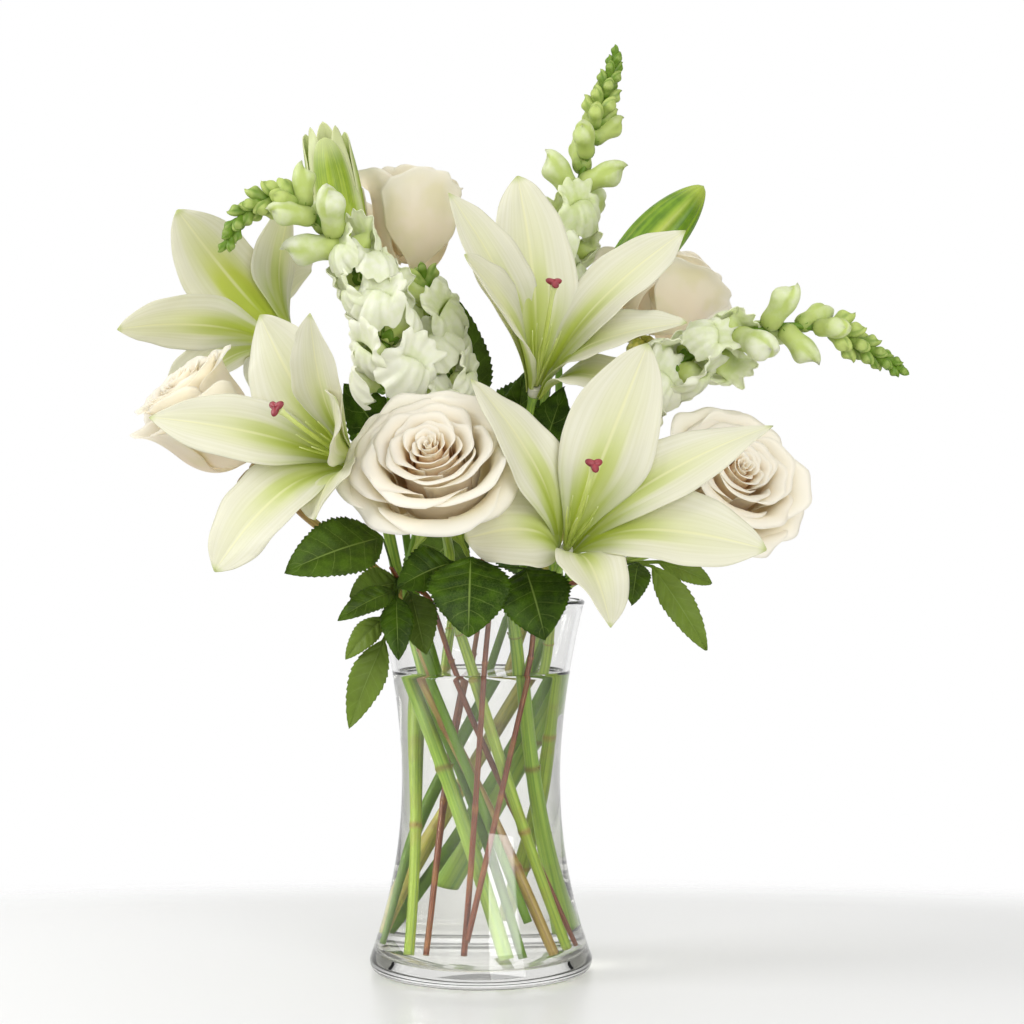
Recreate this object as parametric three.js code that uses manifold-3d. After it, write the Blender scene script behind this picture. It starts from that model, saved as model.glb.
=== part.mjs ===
// White lilies with cream roses, white snapdragons and leafy branches in a clear flared glass vase.
// Millimetres, +Z up. The origin is the middle of the vase's flat foot, and the front faces -Y.
// Each bloom, stem, spike and leafy branch is one solid. The stems stand in plain holes in the water.
import * as THREE from "three";
import Module from "manifold-3d";

const wasm = await Module();
wasm.setup();

const DEGREE = Math.PI / 180;
const GOLDEN_ANGLE = 137.5; // degrees between florets that follow each other on a spike
const CLEARANCE = 0.3; // gap between pieces that touch
const WET_CLEARANCE = 0.45; // gap round a stem in the water, and between the water and the glass

// ---------------------------------------------------------------- driving dimensions
const VASE = {
  height: 203,
  footRadius: 57, // the flat that it stands on
  heelRadius: 61, // the widest ring, just above the foot
  heelHeight: 7,
  waistRadius: 43.5,
  waistHeight: 106,
  rimRadius: 57,
  wall: 3.4,
  floor: 8.5, // thickness of the glass base
  facets: 28,
};
const WATER_LEVEL = 163;
const NECK_HEIGHT = 206; // height at which each stem leaves the rim
const NECK_RADIUS = 45;
const STEM_FOOT_HEIGHT = VASE.floor + 3;

const LILY = {
  length: 118, // of a petal, along its midrib
  innerWidth: 48, // the three inner petals
  outerWidth: 36, // the three outer ones
  thickness: 1.1,
  throatRadius: 3.2,
  throatHeight: 6,
  seat: -1, // where a bloom or bud rests on its stalk
  styleLength: 62,
  filamentLength: 36,
};
const PEDICEL_RADIUS = 2.3;
const ROSE_STEM_RADIUS = 2.9;
const SPIKE_RADIUS = 2.3;
const TWIG_RADIUS = 1.5;
const LEAF_THICKNESS = 1;

const COLOURS = {
  glass: 0xeef4f2,
  water: 0xe4efe9,
  lilyPetal: 0xf3f3e0,
  lilyPistil: 0xc3d36a,
  stigma: 0x8e3030,
  lilyBud: 0x8fb32e,
  rosePetal: 0xf6ead6,
  roseGreen: 0x7d9440,
  lilyGreen: 0x6f9a35,
  spike: 0xcfe0a0,
  leaf: 0x2f5a1e,
};

// ---------------------------------------------------------------- small tools

const vector = (array) => new THREE.Vector3(...array);

// A point round the Z axis: angle in degrees, anticlockwise from +X.
const polar = (angle, radius, height) =>
  new THREE.Vector3(radius * Math.cos(angle * DEGREE), radius * Math.sin(angle * DEGREE), height);

const steps = (count) => Array.from({ length: count + 1 }, (_, i) => i / count);

const ease = (t) => {
  const c = Math.min(1, Math.max(0, t));
  return c * c * (3 - 2 * c);
};

// The value at u of numbers spread evenly from 0 to 1, joined by straight runs.
function along(values, u) {
  const place = Math.min(1, Math.max(0, u)) * (values.length - 1);
  const i = Math.min(values.length - 2, Math.floor(place));
  return values[i] + (values[i + 1] - values[i]) * (place - i);
}

// A closed solid from points and triangles, turned right side out.
function solidFrom(points, triangles) {
  const make = (list) =>
    new wasm.Manifold(
      new wasm.Mesh({
        numProp: 3,
        vertProperties: new Float32Array(points.flatMap((p) => p.toArray())),
        triVerts: new Uint32Array(list.flat()),
      }),
    );
  const made = make(triangles);
  return made.volume() > 0 ? made : make(triangles.map(([a, b, c]) => [a, c, b]));
}

const fuse = (solids) => wasm.Manifold.union(solids);

const placed = (solid, matrix) => solid.transform(matrix.elements);

// A closed body through rings of points, with a single point at each end.
function loft(root, rings, tip) {
  const sides = rings[0].length;
  const points = [root, ...rings.flat(), tip];
  const triangles = [];
  for (let j = 0; j < sides; j++) {
    const next = (j + 1) % sides;
    triangles.push([0, 1 + next, 1 + j]);
    for (let i = 0; i < rings.length - 1; i++) {
      const [a, b] = [1 + i * sides + j, 1 + i * sides + next];
      triangles.push([a, b, a + sides], [b, b + sides, a + sides]);
    }
    const last = points.length - 1;
    triangles.push([last, last - sides + j, last - sides + next]);
  }
  return solidFrom(points, triangles);
}

// A closed tapering tube along a curve, with a ring at each station from 0 to 1.
function tube(curve, radius, sides, stations) {
  const normal = new THREE.Vector3(0.3, 1, 0.2);
  const rings = stations.map((t) => {
    const tangent = curve.getTangent(t);
    normal.addScaledVector(tangent, -normal.dot(tangent)).normalize();
    const binormal = tangent.clone().cross(normal);
    return steps(sides).slice(1).map((turn) =>
      curve
        .getPoint(t)
        .addScaledVector(normal, Math.cos(turn * 2 * Math.PI) * radius(t))
        .addScaledVector(binormal, Math.sin(turn * 2 * Math.PI) * radius(t)),
    );
  });
  return loft(curve.getPoint(stations[0]), rings, curve.getPoint(stations.at(-1)));
}

// A ring of points round the Z axis, at one radius and height.
const roundRing = (facets, [radius, height]) =>
  steps(facets)
    .slice(1)
    .map((t) => polar(360 * t, radius, height));

// A ring of points, two for each lobe: one at its tip and one in the notch beside it. Both are given as
// [radius, height].
const lobedRing = (lobes, tip, notch) =>
  steps(2 * lobes)
    .slice(1)
    .map((t, j) => polar(360 * t, ...(j % 2 ? tip : notch)));

// A solid turned round Z from [radius, height] pairs that start and end on the axis.
function turned(profile, facets) {
  const rings = profile.slice(1, -1).map((corner) => roundRing(facets, corner));
  return loft(polar(0, 0, profile[0][1]), rings, polar(0, 0, profile.at(-1)[1]));
}

// A round or egg-shaped body with few faces.
function egg(centre, radii, sides, rings) {
  const place = (fall, turn) =>
    polar(turn, Math.sin(fall), -Math.cos(fall)).multiply(vector(radii)).add(vector(centre));
  const layers = steps(rings)
    .slice(1, -1)
    .map((t) => steps(sides).slice(1).map((turn) => place(t * Math.PI, 360 * turn)));
  return loft(place(0, 0), layers, place(Math.PI, 0));
}

// A thin closed blade over surface(u, v): u runs from root to tip and v from edge to edge.
// Its two faces meet in the outline, and both are split into triangles the same way.
function blade({ surface, thickness, rows, columns, pointed = true }) {
  const step = 1e-3;
  const points = [];
  const front = [];
  const back = [];
  for (let i = 0; i <= rows; i++) {
    front.push([]);
    back.push([]);
    for (let j = 0; j <= columns; j++) {
      const u = i / rows;
      const v = (2 * j) / columns - 1;
      if (i === rows && pointed && j > 0) {
        front[i].push(front[i][0]);
        back[i].push(back[i][0]);
        continue;
      }
      const p = surface(u, i === rows && pointed ? 0 : v);
      if (i === 0 || i === rows || j === 0 || j === columns) {
        const shared = points.push(p) - 1;
        front[i].push(shared);
        back[i].push(shared);
        continue;
      }
      const normal = surface(u + step, v)
        .sub(surface(u - step, v))
        .cross(surface(u, v + step).sub(surface(u, v - step)))
        .setLength(thickness / 2);
      front[i].push(points.push(p.clone().add(normal)) - 1);
      back[i].push(points.push(p.clone().sub(normal)) - 1);
    }
  }
  const triangles = [];
  const face = (grid, flip) => {
    for (let i = 0; i < rows; i++)
      for (let j = 0; j < columns; j++) {
        const [a, b, c, d] = [grid[i][j], grid[i][j + 1], grid[i + 1][j + 1], grid[i + 1][j]];
        const rising = i < rows / 2 === j < columns / 2;
        for (const [p, q, r] of rising ? [[a, b, c], [a, c, d]] : [[a, b, d], [b, c, d]])
          if (p !== q && q !== r && r !== p) triangles.push(flip ? [p, r, q] : [p, q, r]);
      }
  };
  face(front, false);
  face(back, true);
  return solidFrom(points, triangles);
}

// The frame of a bloom: Z is its axis, and X leans towards the sky.
function bloomFrame({ base, axis }) {
  const z = vector(axis).normalize();
  const x = new THREE.Vector3(0, 0, 1);
  x.addScaledVector(z, -x.dot(z)).normalize();
  return new THREE.Matrix4().makeBasis(x, z.clone().cross(x), z).setPosition(...base);
}

// A point on a bloom's axis, this far behind its base.
const behind = (bloom, distance) =>
  vector(bloom.base).addScaledVector(vector(bloom.axis).normalize(), -distance).toArray();

// A midrib in the plane through the bloom's axis: it starts at this radius and height, and leans from the
// axis by the given angles, spread evenly from root to tip. Returns its radius, height and lean at u.
function midrib({ radius, height, length, angles }) {
  const PIECES = 32;
  const line = [{ r: radius, h: height }];
  for (let i = 0; i < PIECES; i++) {
    const lean = along(angles, (i + 0.5) / PIECES) * DEGREE;
    const run = length / PIECES;
    line.push({ r: line[i].r + Math.sin(lean) * run, h: line[i].h + Math.cos(lean) * run });
  }
  const radii = line.map(({ r }) => r);
  const heights = line.map(({ h }) => h);
  return (u) => ({ r: along(radii, u), h: along(heights, u), lean: along(angles, u) * DEGREE });
}

// ---------------------------------------------------------------- lilies

// How wide a lily petal is at u, as a share of its full width.
function lilyBreadth(u) {
  const CLAW = 0.12;
  const WIDEST = 0.5;
  if (u < WIDEST) return CLAW + (1 - CLAW) * ease(u / WIDEST);
  const t = (u - WIDEST) / (1 - WIDEST);
  return Math.max(0, 1 - t * t) ** 0.75;
}

// One petal. azimuth runs round the axis from the top, anticlockwise as seen from the front.
// It wraps round the throat at its root, and the more it opens, the further out it stands there.
function lilyPetal({ azimuth, angles, width, columns, open = 1, length = 1, setBack = 0 }) {
  const CUP = 0.3; // how far the edges lift towards the axis, as a share of the half width
  const WAVE = 1.2; // height of the ruffles along the edges
  const rib = midrib({
    radius: LILY.throatRadius + setBack + 3 * (open - 0.8),
    height: 0,
    length: LILY.length * length,
    angles: angles.map((lean) => lean * open),
  });
  const surface = (u, v) => {
    const { r, h, lean } = rib(u);
    const half = (width / 2) * lilyBreadth(u);
    const wrap = 1 - ease((u - 0.08) / 0.3);
    const turn = azimuth + (wrap * v * half) / r / DEGREE;
    const ruffle = WAVE * Math.sin(9 * u + 2 * v + azimuth) * ease(2 * u - 0.2);
    const lift = Math.abs(v) ** 1.6 * (CUP * half * (1.25 - u) * (1 - wrap) + ruffle);
    return polar(turn, r - lift * Math.cos(lean), h + lift * Math.sin(lean)).addScaledVector(
      polar(azimuth + 90, 1, 0),
      (1 - wrap) * v * half,
    );
  };
  return blade({ surface, thickness: LILY.thickness, rows: 6, columns });
}

// The white petals, fused at the throat.
function lilyPetals(petals) {
  const profile = [[0, LILY.seat], [4.6, LILY.seat], [8, LILY.throatHeight], [0, LILY.throatHeight]];
  return fuse([turned(profile, petals.length), ...petals.map(lilyPetal)]);
}

// The ovary, the style and six bare filaments, on the throat's floor.
function lilyPistil(bend) {
  const floor = LILY.throatHeight + CLEARANCE;
  const style = new THREE.QuadraticBezierCurve3(
    polar(0, 0, floor),
    polar(0, 0, floor + LILY.styleLength / 2),
    polar(0, bend, floor + LILY.styleLength),
  );
  const filaments = steps(6).slice(1).map((share) => {
    const turn = 360 * share + 30;
    const root = polar(turn, 1, floor + 0.6);
    const tip = polar(turn, 8, floor + LILY.filamentLength);
    return tube(new THREE.LineCurve3(root, tip), (t) => 1 - 0.4 * t, 3, [0, 1]);
  });
  return fuse([tube(style, (t) => 2.1 - 0.8 * t, 4, steps(2)), ...filaments]);
}

// The three-lobed dark red stigma at the end of the style.
function lilyStigma(bend) {
  const foot = LILY.throatHeight + LILY.styleLength + 3 * CLEARANCE;
  const rings = [[1.6, 1.4, 0.2], [4, 2.4, 2], [3.4, 1.8, 3.6]].map(([lobe, notch, height]) =>
    lobedRing(3, [lobe, foot + height], [notch, foot + height]),
  );
  return loft(polar(0, 0, foot), rings, polar(0, 0, foot + 3)).translate([bend, 0, 0]);
}

// A closed bud with six ribs; split opens its petal tips by that many degrees.
function lilyBud({ length, radius, split = 0 }) {
  const PROFILE = split ? [0.34, 0.76, 1, 0.8, 0.3] : [0.34, 0.72, 1, 0.98, 0.76, 0.36];
  const RIBS = 6;
  const rings = PROFILE.map((share, i) => {
    const height = (length * (i + 0.1)) / (PROFILE.length - 0.4);
    return lobedRing(RIBS, [0.88 * radius * share, height], [1.04 * radius * share, height]);
  });
  const body = loft(polar(0, 0, LILY.seat), rings, polar(0, 0, length));
  if (!split) return body;
  const tips = steps(RIBS).slice(1).map((turn, i) => {
    const rib = midrib({
      radius: radius * 0.82,
      height: length * 0.4,
      length: length * (0.58 + 0.06 * Math.sin(2.4 * i)),
      angles: [10, 2, 4, split],
    });
    const surface = (u, v) => {
      const { r, h } = rib(u);
      return polar(360 * turn + v * 26 * Math.sqrt(Math.max(0, 1 - u ** 3)), r, h);
    };
    return blade({ surface, thickness: 2, rows: 3, columns: 2 });
  });
  return fuse([body, ...tips]);
}

// ---------------------------------------------------------------- roses

// Rings of petals from the heart outwards, for a bloom 60 mm high. foot is the radius and height at which a
// petal leaves the heart, angles lean from the axis, and reach is the share of the circle in degrees.
const ROSE_HEART = [[0, 0], [5, 0], [8.5, 8], [8.5, 20], [7.4, 34], [4.4, 46], [0, 50]];
const HEART_FACETS = 5;
const ROSE_WHORLS = [
  { foot: [6.8, 30], length: 26, angles: [10, -6, -14], reach: 128, rows: 2, columns: 3, tuck: 1 },
  { foot: [7, 14], length: 44, angles: [38, 2, -6, 4], reach: 134, rows: 3, columns: 3, tuck: 1.2 },
  { foot: [6, 7], length: 55, angles: [58, 14, 2, 34], reach: 136, rows: 3, columns: 4, tuck: 1.4 },
];
const ROSE_GUARD = {
  foot: [5, 3.5],
  length: 52,
  angles: [84, 32, 8, 34, 160],
  reach: 86,
  rows: 4,
  columns: 4,
  tuck: 1.4,
};

function rosePetal({ azimuth, foot, length, angles, reach, rows, columns, tuck, flare = 1 }) {
  const lean = angles.map((angle, i) => (i > 2 ? angle * flare : angle));
  const rib = midrib({ radius: foot[0], height: foot[1], length, angles: lean });
  const surface = (u, v) => {
    const shoulder = 1 - 0.2 * Math.abs(v) ** 2.2 * ease(2 * u - 0.6);
    const { r, h } = rib(u * shoulder);
    const half = (reach / 2) * (0.4 + 0.6 * ease(1.7 * u));
    const ruffle = 0.25 * tuck * Math.sin(7 * v + azimuth) * ease(2 * u - 1);
    return polar(azimuth + v * half, r + tuck * v * ease(2 * u) + ruffle, h);
  };
  return blade({ surface, thickness: 1, rows, columns, pointed: false });
}

// guards are the azimuths of the outermost petals, flare is how far these roll back, and spread widens or
// narrows the whole bloom.
function roseBloom({ scale, spread = 1, roll, guards, flare, whorls = ROSE_WHORLS }) {
  const parts = [turned(ROSE_HEART, HEART_FACETS)];
  whorls.forEach((whorl, n) => {
    for (const turn of [0, 120, 240]) parts.push(rosePetal({ ...whorl, azimuth: roll + n * 50 + turn }));
  });
  for (const azimuth of guards) parts.push(rosePetal({ ...ROSE_GUARD, azimuth, flare }));
  return fuse(parts).scale([scale * spread, scale * spread, scale]);
}

// The green hip under a rose, whose five sepals bend back, in the bloom's frame.
function roseHip(scale) {
  const SEPALS = 5;
  const rings = [
    roundRing(2 * SEPALS, [3.2, -15]),
    roundRing(2 * SEPALS, [6, -8]),
    lobedRing(SEPALS, [5.4, -3.4], [4.6, -3]),
    lobedRing(SEPALS, [23, -11], [5.6, -1.6]),
  ];
  return loft(polar(0, 0, -15), rings, polar(0, 0, -CLEARANCE)).scale([scale, scale, scale]);
}

// ---------------------------------------------------------------- leaves and stems

// A leaf on its stalk, from the joint on the branch by way of from to its tip at to. facing is the side
// that its upper face looks to. Teeth cut its edge.
function leaf({ joint, from, to, facing, width, teeth = 4 }) {
  const ARCH = 4; // how far it bows to its upper face
  const FOLD = 0.22; // how steeply its halves lift from the midrib
  const WIDEST = 0.42;
  const start = vector(from);
  const run = vector(to).sub(start);
  const forward = run.clone().normalize();
  const up = vector(facing);
  up.addScaledVector(forward, -up.dot(forward)).normalize();
  const side = forward.clone().cross(up);
  const rows = 2 * teeth + 1;
  const stalk = 1 / rows;
  const breadth = (t) =>
    t < WIDEST
      ? Math.sin((t / WIDEST) * 90 * DEGREE) ** 0.75
      : Math.max(0, 1 - ((t - WIDEST) / (1 - WIDEST)) ** 1.7) ** 0.85;
  const surface = (u, v) => {
    const t = (u - stalk) / (1 - stalk);
    if (t < 0) return joint.clone().lerp(start, u / stalk).addScaledVector(side, v * 1.2);
    const notch = Math.round(u * rows) % 2 ? 0.94 : 1.06;
    const half = Math.max(1.2, (width / 2) * breadth(t) * notch);
    return start
      .clone()
      .addScaledVector(run, t)
      .addScaledVector(up, ARCH * Math.sin(Math.PI * t) + FOLD * half * Math.abs(v))
      .addScaledVector(side, v * half);
  };
  return blade({ surface, thickness: LEAF_THICKNESS, rows, columns: 2 });
}

const STRAIGHT = 0.8; // share of the run to the rim that stays straight, to above the water

// The route of a stem: straight from its cut end, at the azimuth and radius of foot, to the rim at the
// azimuth neck, then by way of via to its end, where it points along axis. cut is the share of the
// straight run that a stem with a higher cut end lacks.
function stemRoute({ neck, foot, cut = 0, via = [], end, axis, reach = 26 }) {
  const rim = polar(neck, NECK_RADIUS, NECK_HEIGHT);
  const low = polar(...foot, STEM_FOOT_HEIGHT).lerp(rim, cut);
  const approach = vector(end).addScaledVector(vector(axis).normalize(), -reach);
  const points = [low, low.clone().lerp(rim, STRAIGHT), rim, ...via.map(vector), approach, vector(end)];
  return new THREE.CatmullRomCurve3(points, false, "centripetal");
}

// Where a stem's rings stand: none along its straight run, then one at each bend and one halfway.
function stemStations(route) {
  const spans = route.points.length - 1;
  const stations = [0, 1, 2];
  for (let s = 2.5; s <= spans; s += 0.5) stations.push(s);
  return stations.map((s) => s / spans);
}

const STEM_SWELL = 1.12; // how much thicker than its middle a stem is at the foot
const stemTube = (route, radius, sides) =>
  tube(route, (t) => radius * (STEM_SWELL - 0.26 * t), sides, stemStations(route));

// The straight hole that a stem stands in, a little longer and wider than the stem.
function stemHole(route, radius, sides) {
  const [foot, top] = route.points;
  const low = foot.clone().addScaledVector(route.getTangent(0), -WET_CLEARANCE);
  return tube(new THREE.LineCurve3(low, top), () => radius * STEM_SWELL + WET_CLEARANCE, sides, [0, 1]);
}

// The stalk of a bloom, from the fork of its stem.
function pedicel(fork, bloom) {
  const bend = vector(fork).lerp(vector(behind(bloom, 34)), 0.8);
  const points = [vector(fork), bend, ...[16, CLEARANCE - LILY.seat].map((gap) => vector(behind(bloom, gap)))];
  const curve = new THREE.CatmullRomCurve3(points, false, "centripetal");
  return tube(curve, () => PEDICEL_RADIUS, 5, steps(4));
}

// ---------------------------------------------------------------- snapdragons

// One open floret: a tube that flares into lobes round a closed throat.
function floret(size) {
  const LOBES = 4;
  const rings = [roundRing(2 * LOBES, [5.6, 12]), lobedRing(LOBES, [13.5, 15], [6.4, 17])];
  return loft(polar(0, 0, 0), rings, polar(0, 0, 20)).scale([size, size, size]);
}

// A spike: a stem with open florets low down, then swelling buds, then tight green ones at the tip.
// flowering is the length of it that bears them, and sizes are those of the first and the last floret.
function snapdragon({ route, flowering, florets, buds, phase, sizes = [1.3, 1.1] }) {
  const parts = [stemTube(route, SPIKE_RADIUS, 5)];
  const length = route.getLength();
  const count = florets + buds;
  for (let i = 0; i < count; i++) {
    const t = 1 - (flowering / length) * (1 - (i / count) ** 0.9);
    const forward = route.getTangentAt(t);
    const side = new THREE.Vector3(0, 1, 0).cross(forward).normalize();
    side.applyAxisAngle(forward, (phase + i * GOLDEN_ANGLE) * DEGREE);
    const open = i < florets;
    const age = open ? i / florets : (i - florets) / buds;
    const lean = (open ? 74 - 10 * age : 60 - 36 * age) * DEGREE;
    const axis = forward.clone().multiplyScalar(Math.cos(lean)).addScaledVector(side, Math.sin(lean));
    const up = forward.clone().addScaledVector(axis, -forward.dot(axis)).normalize();
    const frame = new THREE.Matrix4().makeBasis(up, axis.clone().cross(up), axis);
    frame.setPosition(route.getPointAt(t));
    const size = 1 - 0.66 * age;
    const head = open
      ? floret(sizes[0] + (sizes[1] - sizes[0]) * age)
      : egg([0, 0, 1 + 11.5 * size], [8 * size, 8 * size, 12.5 * size], 5, 3);
    parts.push(placed(head, frame));
  }
  return fuse(parts);
}

// ---------------------------------------------------------------- vase and water

// The vase's outer radius at a height: a full heel, a narrow waist and a flared rim.
function vaseRadius(z) {
  const { heelRadius, heelHeight, waistRadius, waistHeight, rimRadius, height } = VASE;
  if (z < waistHeight) {
    const t = (waistHeight - z) / (waistHeight - heelHeight);
    return waistRadius + (heelRadius - waistRadius) * t ** 2.1;
  }
  const t = (z - waistHeight) / (height - waistHeight);
  return waistRadius + (rimRadius - waistRadius) * t ** 1.75;
}

const OUTER_HEIGHTS = [VASE.heelHeight, 26, 54, VASE.waistHeight, 150, 178, VASE.height - 1];
const INNER_HEIGHTS = [VASE.floor + 3, 30, 62, VASE.waistHeight, WATER_LEVEL, VASE.height - 1];
const innerRadius = (z) => vaseRadius(z) - VASE.wall;
const FLOOR_RADIUS = innerRadius(VASE.floor) - 3;

function buildVase() {
  const outer = OUTER_HEIGHTS.map((z) => [vaseRadius(z), z]);
  const inner = INNER_HEIGHTS.map((z) => [innerRadius(z), z]).reverse();
  const lip = [VASE.rimRadius - VASE.wall / 2, VASE.height];
  const foot = [[0, 0], [VASE.footRadius, 0]];
  const floor = [[FLOOR_RADIUS, VASE.floor], [0, VASE.floor]];
  return turned([...foot, ...outer, lip, ...inner, ...floor], VASE.facets);
}

function buildWater(holes) {
  const wetHeights = INNER_HEIGHTS.filter((z) => z <= WATER_LEVEL);
  const side = wetHeights.map((z) => [innerRadius(z) - WET_CLEARANCE, z]);
  const bottom = VASE.floor + CLEARANCE;
  const edge = FLOOR_RADIUS - WET_CLEARANCE;
  const wet = turned([[0, bottom], [edge, bottom], ...side, [0, WATER_LEVEL]], VASE.facets);
  return wet.subtract(fuse(holes));
}

// ---------------------------------------------------------------- the bouquet

const bouquet = new THREE.Group();

// Adds a named mesh. frame places a piece that was made in its own frame.
function show(name, solid, colour, { frame, roughness = 0.6, opacity = 1 } = {}) {
  const { vertProperties, triVerts } = solid.getMesh();
  const geometry = new THREE.BufferGeometry()
    .setAttribute("position", new THREE.Float32BufferAttribute(vertProperties, 3))
    .setIndex([...triVerts]);
  geometry.computeVertexNormals();
  const material = new THREE.MeshStandardMaterial({
    color: colour,
    roughness,
    metalness: 0,
    transparent: opacity < 1,
    opacity,
  });
  const piece = new THREE.Mesh(geometry, material);
  piece.name = name;
  if (frame) frame.decompose(piece.position, piece.quaternion, piece.scale);
  bouquet.add(piece);
}

// Lily blooms. Each petal is a wide inner one or a slim outer one. open scales how far it leans out.
const WIDE = { width: LILY.innerWidth, columns: 4, angles: [14, 34, 60, 72, 84] };
const SLIM = { width: LILY.outerWidth, columns: 2, angles: [16, 38, 64, 78, 96], setBack: 1.4 };
const CURLED = { width: LILY.innerWidth, columns: 4, angles: [14, 46, 88, 124, 150] };
const LILIES = {
  front: {
    base: [44, -73, 229],
    axis: [0.2, -0.78, 0.58],
    bend: 5,
    petals: [
      { ...WIDE, azimuth: -27, open: 0.9, length: 1.02 },
      { ...SLIM, azimuth: -74, open: 0.9, length: 1.1 },
      { ...WIDE, azimuth: -113, open: 1.08, length: 0.96 },
      { ...SLIM, azimuth: 178, open: 0.92, length: 0.84 },
      { ...CURLED, azimuth: 97, length: 0.6 },
      { ...SLIM, azimuth: 38, open: 0.9, length: 0.9 },
    ],
  },
  top: {
    base: [29, 0, 316],
    axis: [0.16, -0.62, 0.77],
    bend: 4,
    petals: [
      { ...WIDE, azimuth: 6, open: 0.76, length: 1.04 },
      { ...SLIM, azimuth: -70, open: 0.68, length: 1.04 },
      { ...WIDE, azimuth: -117, open: 0.82, length: 0.88 },
      { ...SLIM, azimuth: -168, open: 0.8, length: 0.76 },
      { ...WIDE, azimuth: 86, open: 0.56, length: 0.86 },
      { ...SLIM, azimuth: 42, open: 0.66, length: 1.02 },
    ],
  },
  left: {
    base: [-64, -62, 276],
    axis: [-0.52, -0.78, 0.34],
    bend: 3,
    petals: [
      { ...WIDE, azimuth: 32, open: 0.95, length: 0.8 },
      { ...SLIM, azimuth: -24, open: 0.5, length: 0.84 },
      { ...SLIM, azimuth: 90, open: 0.9, length: 0.9 },
      { ...WIDE, azimuth: 152, open: 1.15, length: 0.84 },
      { ...SLIM, azimuth: -160, open: 0.8, length: 0.54 },
      { ...WIDE, azimuth: -78, open: 0.5, length: 0.66, width: 34 },
    ],
  },
  back: {
    base: [-108, 44, 346],
    axis: [-0.66, 0.56, 0.5],
    bend: 3,
    petals: [
      { ...WIDE, azimuth: -48, open: 0.76, length: 0.86 },
      { ...SLIM, azimuth: -104, length: 0.87 },
      { ...WIDE, azimuth: -165, length: 0.86 },
      { ...SLIM, azimuth: 135, length: 0.87 },
      { ...WIDE, azimuth: 75, open: 0.8, length: 0.86 },
      { ...SLIM, azimuth: 12, open: 0.9, length: 0.87 },
    ],
  },
};
for (const [name, lily] of Object.entries(LILIES)) {
  const frame = bloomFrame(lily);
  show(`lily_${name}_petals`, lilyPetals(lily.petals), COLOURS.lilyPetal, { frame });
  show(`lily_${name}_pistil`, lilyPistil(lily.bend), COLOURS.lilyPistil, { frame });
  show(`lily_${name}_stigma`, lilyStigma(lily.bend), COLOURS.stigma, { frame });
}

const LILY_BUDS = {
  green: { base: [63, 30, 368], axis: [0.68, -0.02, 0.73], length: 90, radius: 12.5 },
  opening: { base: [-75, 52, 387], axis: [-0.19, 0, 0.98], length: 88, radius: 14.5, split: 12 },
};
for (const [name, bud] of Object.entries(LILY_BUDS))
  show(`lily_bud_${name}`, lilyBud(bud), COLOURS.lilyBud, { frame: bloomFrame(bud) });

const holes = [];

// Lily stems: each ends in a fork, from which a stalk bends to each bloom.
const LILY_STEMS = {
  front: {
    neck: -66,
    foot: [46, 40],
    fork: [36, -40, 214],
    radius: 3.7,
    blooms: [LILIES.front],
  },
  top: {
    neck: 22,
    foot: [121, 41],
    cut: 0.14,
    fork: [32, 18, 276],
    radius: 4.7,
    blooms: [LILIES.top, LILY_BUDS.green],
  },
  left: {
    neck: 168,
    foot: [-71, 40],
    fork: [-56, 8, 262],
    radius: 3.9,
    blooms: [LILIES.left, LILIES.back, LILY_BUDS.opening],
  },
};
for (const [name, stem] of Object.entries(LILY_STEMS)) {
  const SIDES = 6;
  const axis = vector(stem.fork).sub(polar(stem.neck, NECK_RADIUS, NECK_HEIGHT)).toArray();
  const route = stemRoute({ ...stem, end: stem.fork, axis, reach: 14 });
  const stalks = stem.blooms.map((bloom) => pedicel(stem.fork, bloom));
  holes.push(stemHole(route, stem.radius, SIDES));
  show(`lily_stem_${name}`, fuse([stemTube(route, stem.radius, SIDES), ...stalks]), COLOURS.lilyGreen);
}

// Roses, each with the azimuths of its outermost petals.
const ROSES = {
  front: {
    base: [-18.8, -65, 240],
    axis: [-0.1, -0.62, 0.78],
    scale: 1.25,
    spread: 0.98,
    roll: 20,
    neck: -110,
    foot: [-17, 42.6],
    guards: [80, 138, 195, -108],
  },
  left: {
    base: [-120, -9, 280],
    axis: [-0.82, -0.22, 0.5],
    scale: 1.2,
    flare: 0.7,
    roll: 0,
    neck: -172,
    foot: [-36, 44.8],
    guards: [20, 90, 180],
  },
  back_left: {
    base: [-42, 72, 386],
    axis: [-0.04, 0.2, 0.97],
    scale: 1.12,
    spread: 0.9,
    flare: 0.4,
    roll: 70,
    neck: 112,
    foot: [-142, 44.2],
    whorls: ROSE_WHORLS.slice(1),
    guards: [180, 100, -80],
  },
  back_right: {
    base: [93, 78, 352],
    axis: [0.36, 0.34, 0.87],
    scale: 1.1,
    roll: 10,
    neck: 46,
    foot: [158, 42],
    whorls: ROSE_WHORLS.slice(1),
    guards: [-60, 90, 170],
  },
  right: {
    base: [117, 10, 250],
    axis: [0.62, -0.6, 0.46],
    scale: 1.16,
    roll: 40,
    neck: -20,
    foot: [81, 38],
    cut: 0.04,
    guards: [-65, -130, 165, 95],
  },
};
for (const [name, rose] of Object.entries(ROSES)) {
  const SIDES = 6;
  const frame = bloomFrame(rose);
  const route = stemRoute({ ...rose, end: behind(rose, 12) });
  const stem = stemTube(route, ROSE_STEM_RADIUS, SIDES);
  holes.push(stemHole(route, ROSE_STEM_RADIUS, SIDES));
  show(`rose_${name}_petals`, roseBloom(rose), COLOURS.rosePetal, { frame });
  show(`rose_${name}_stem`, fuse([placed(roseHip(rose.scale), frame), stem]), COLOURS.roseGreen);
}

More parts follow.
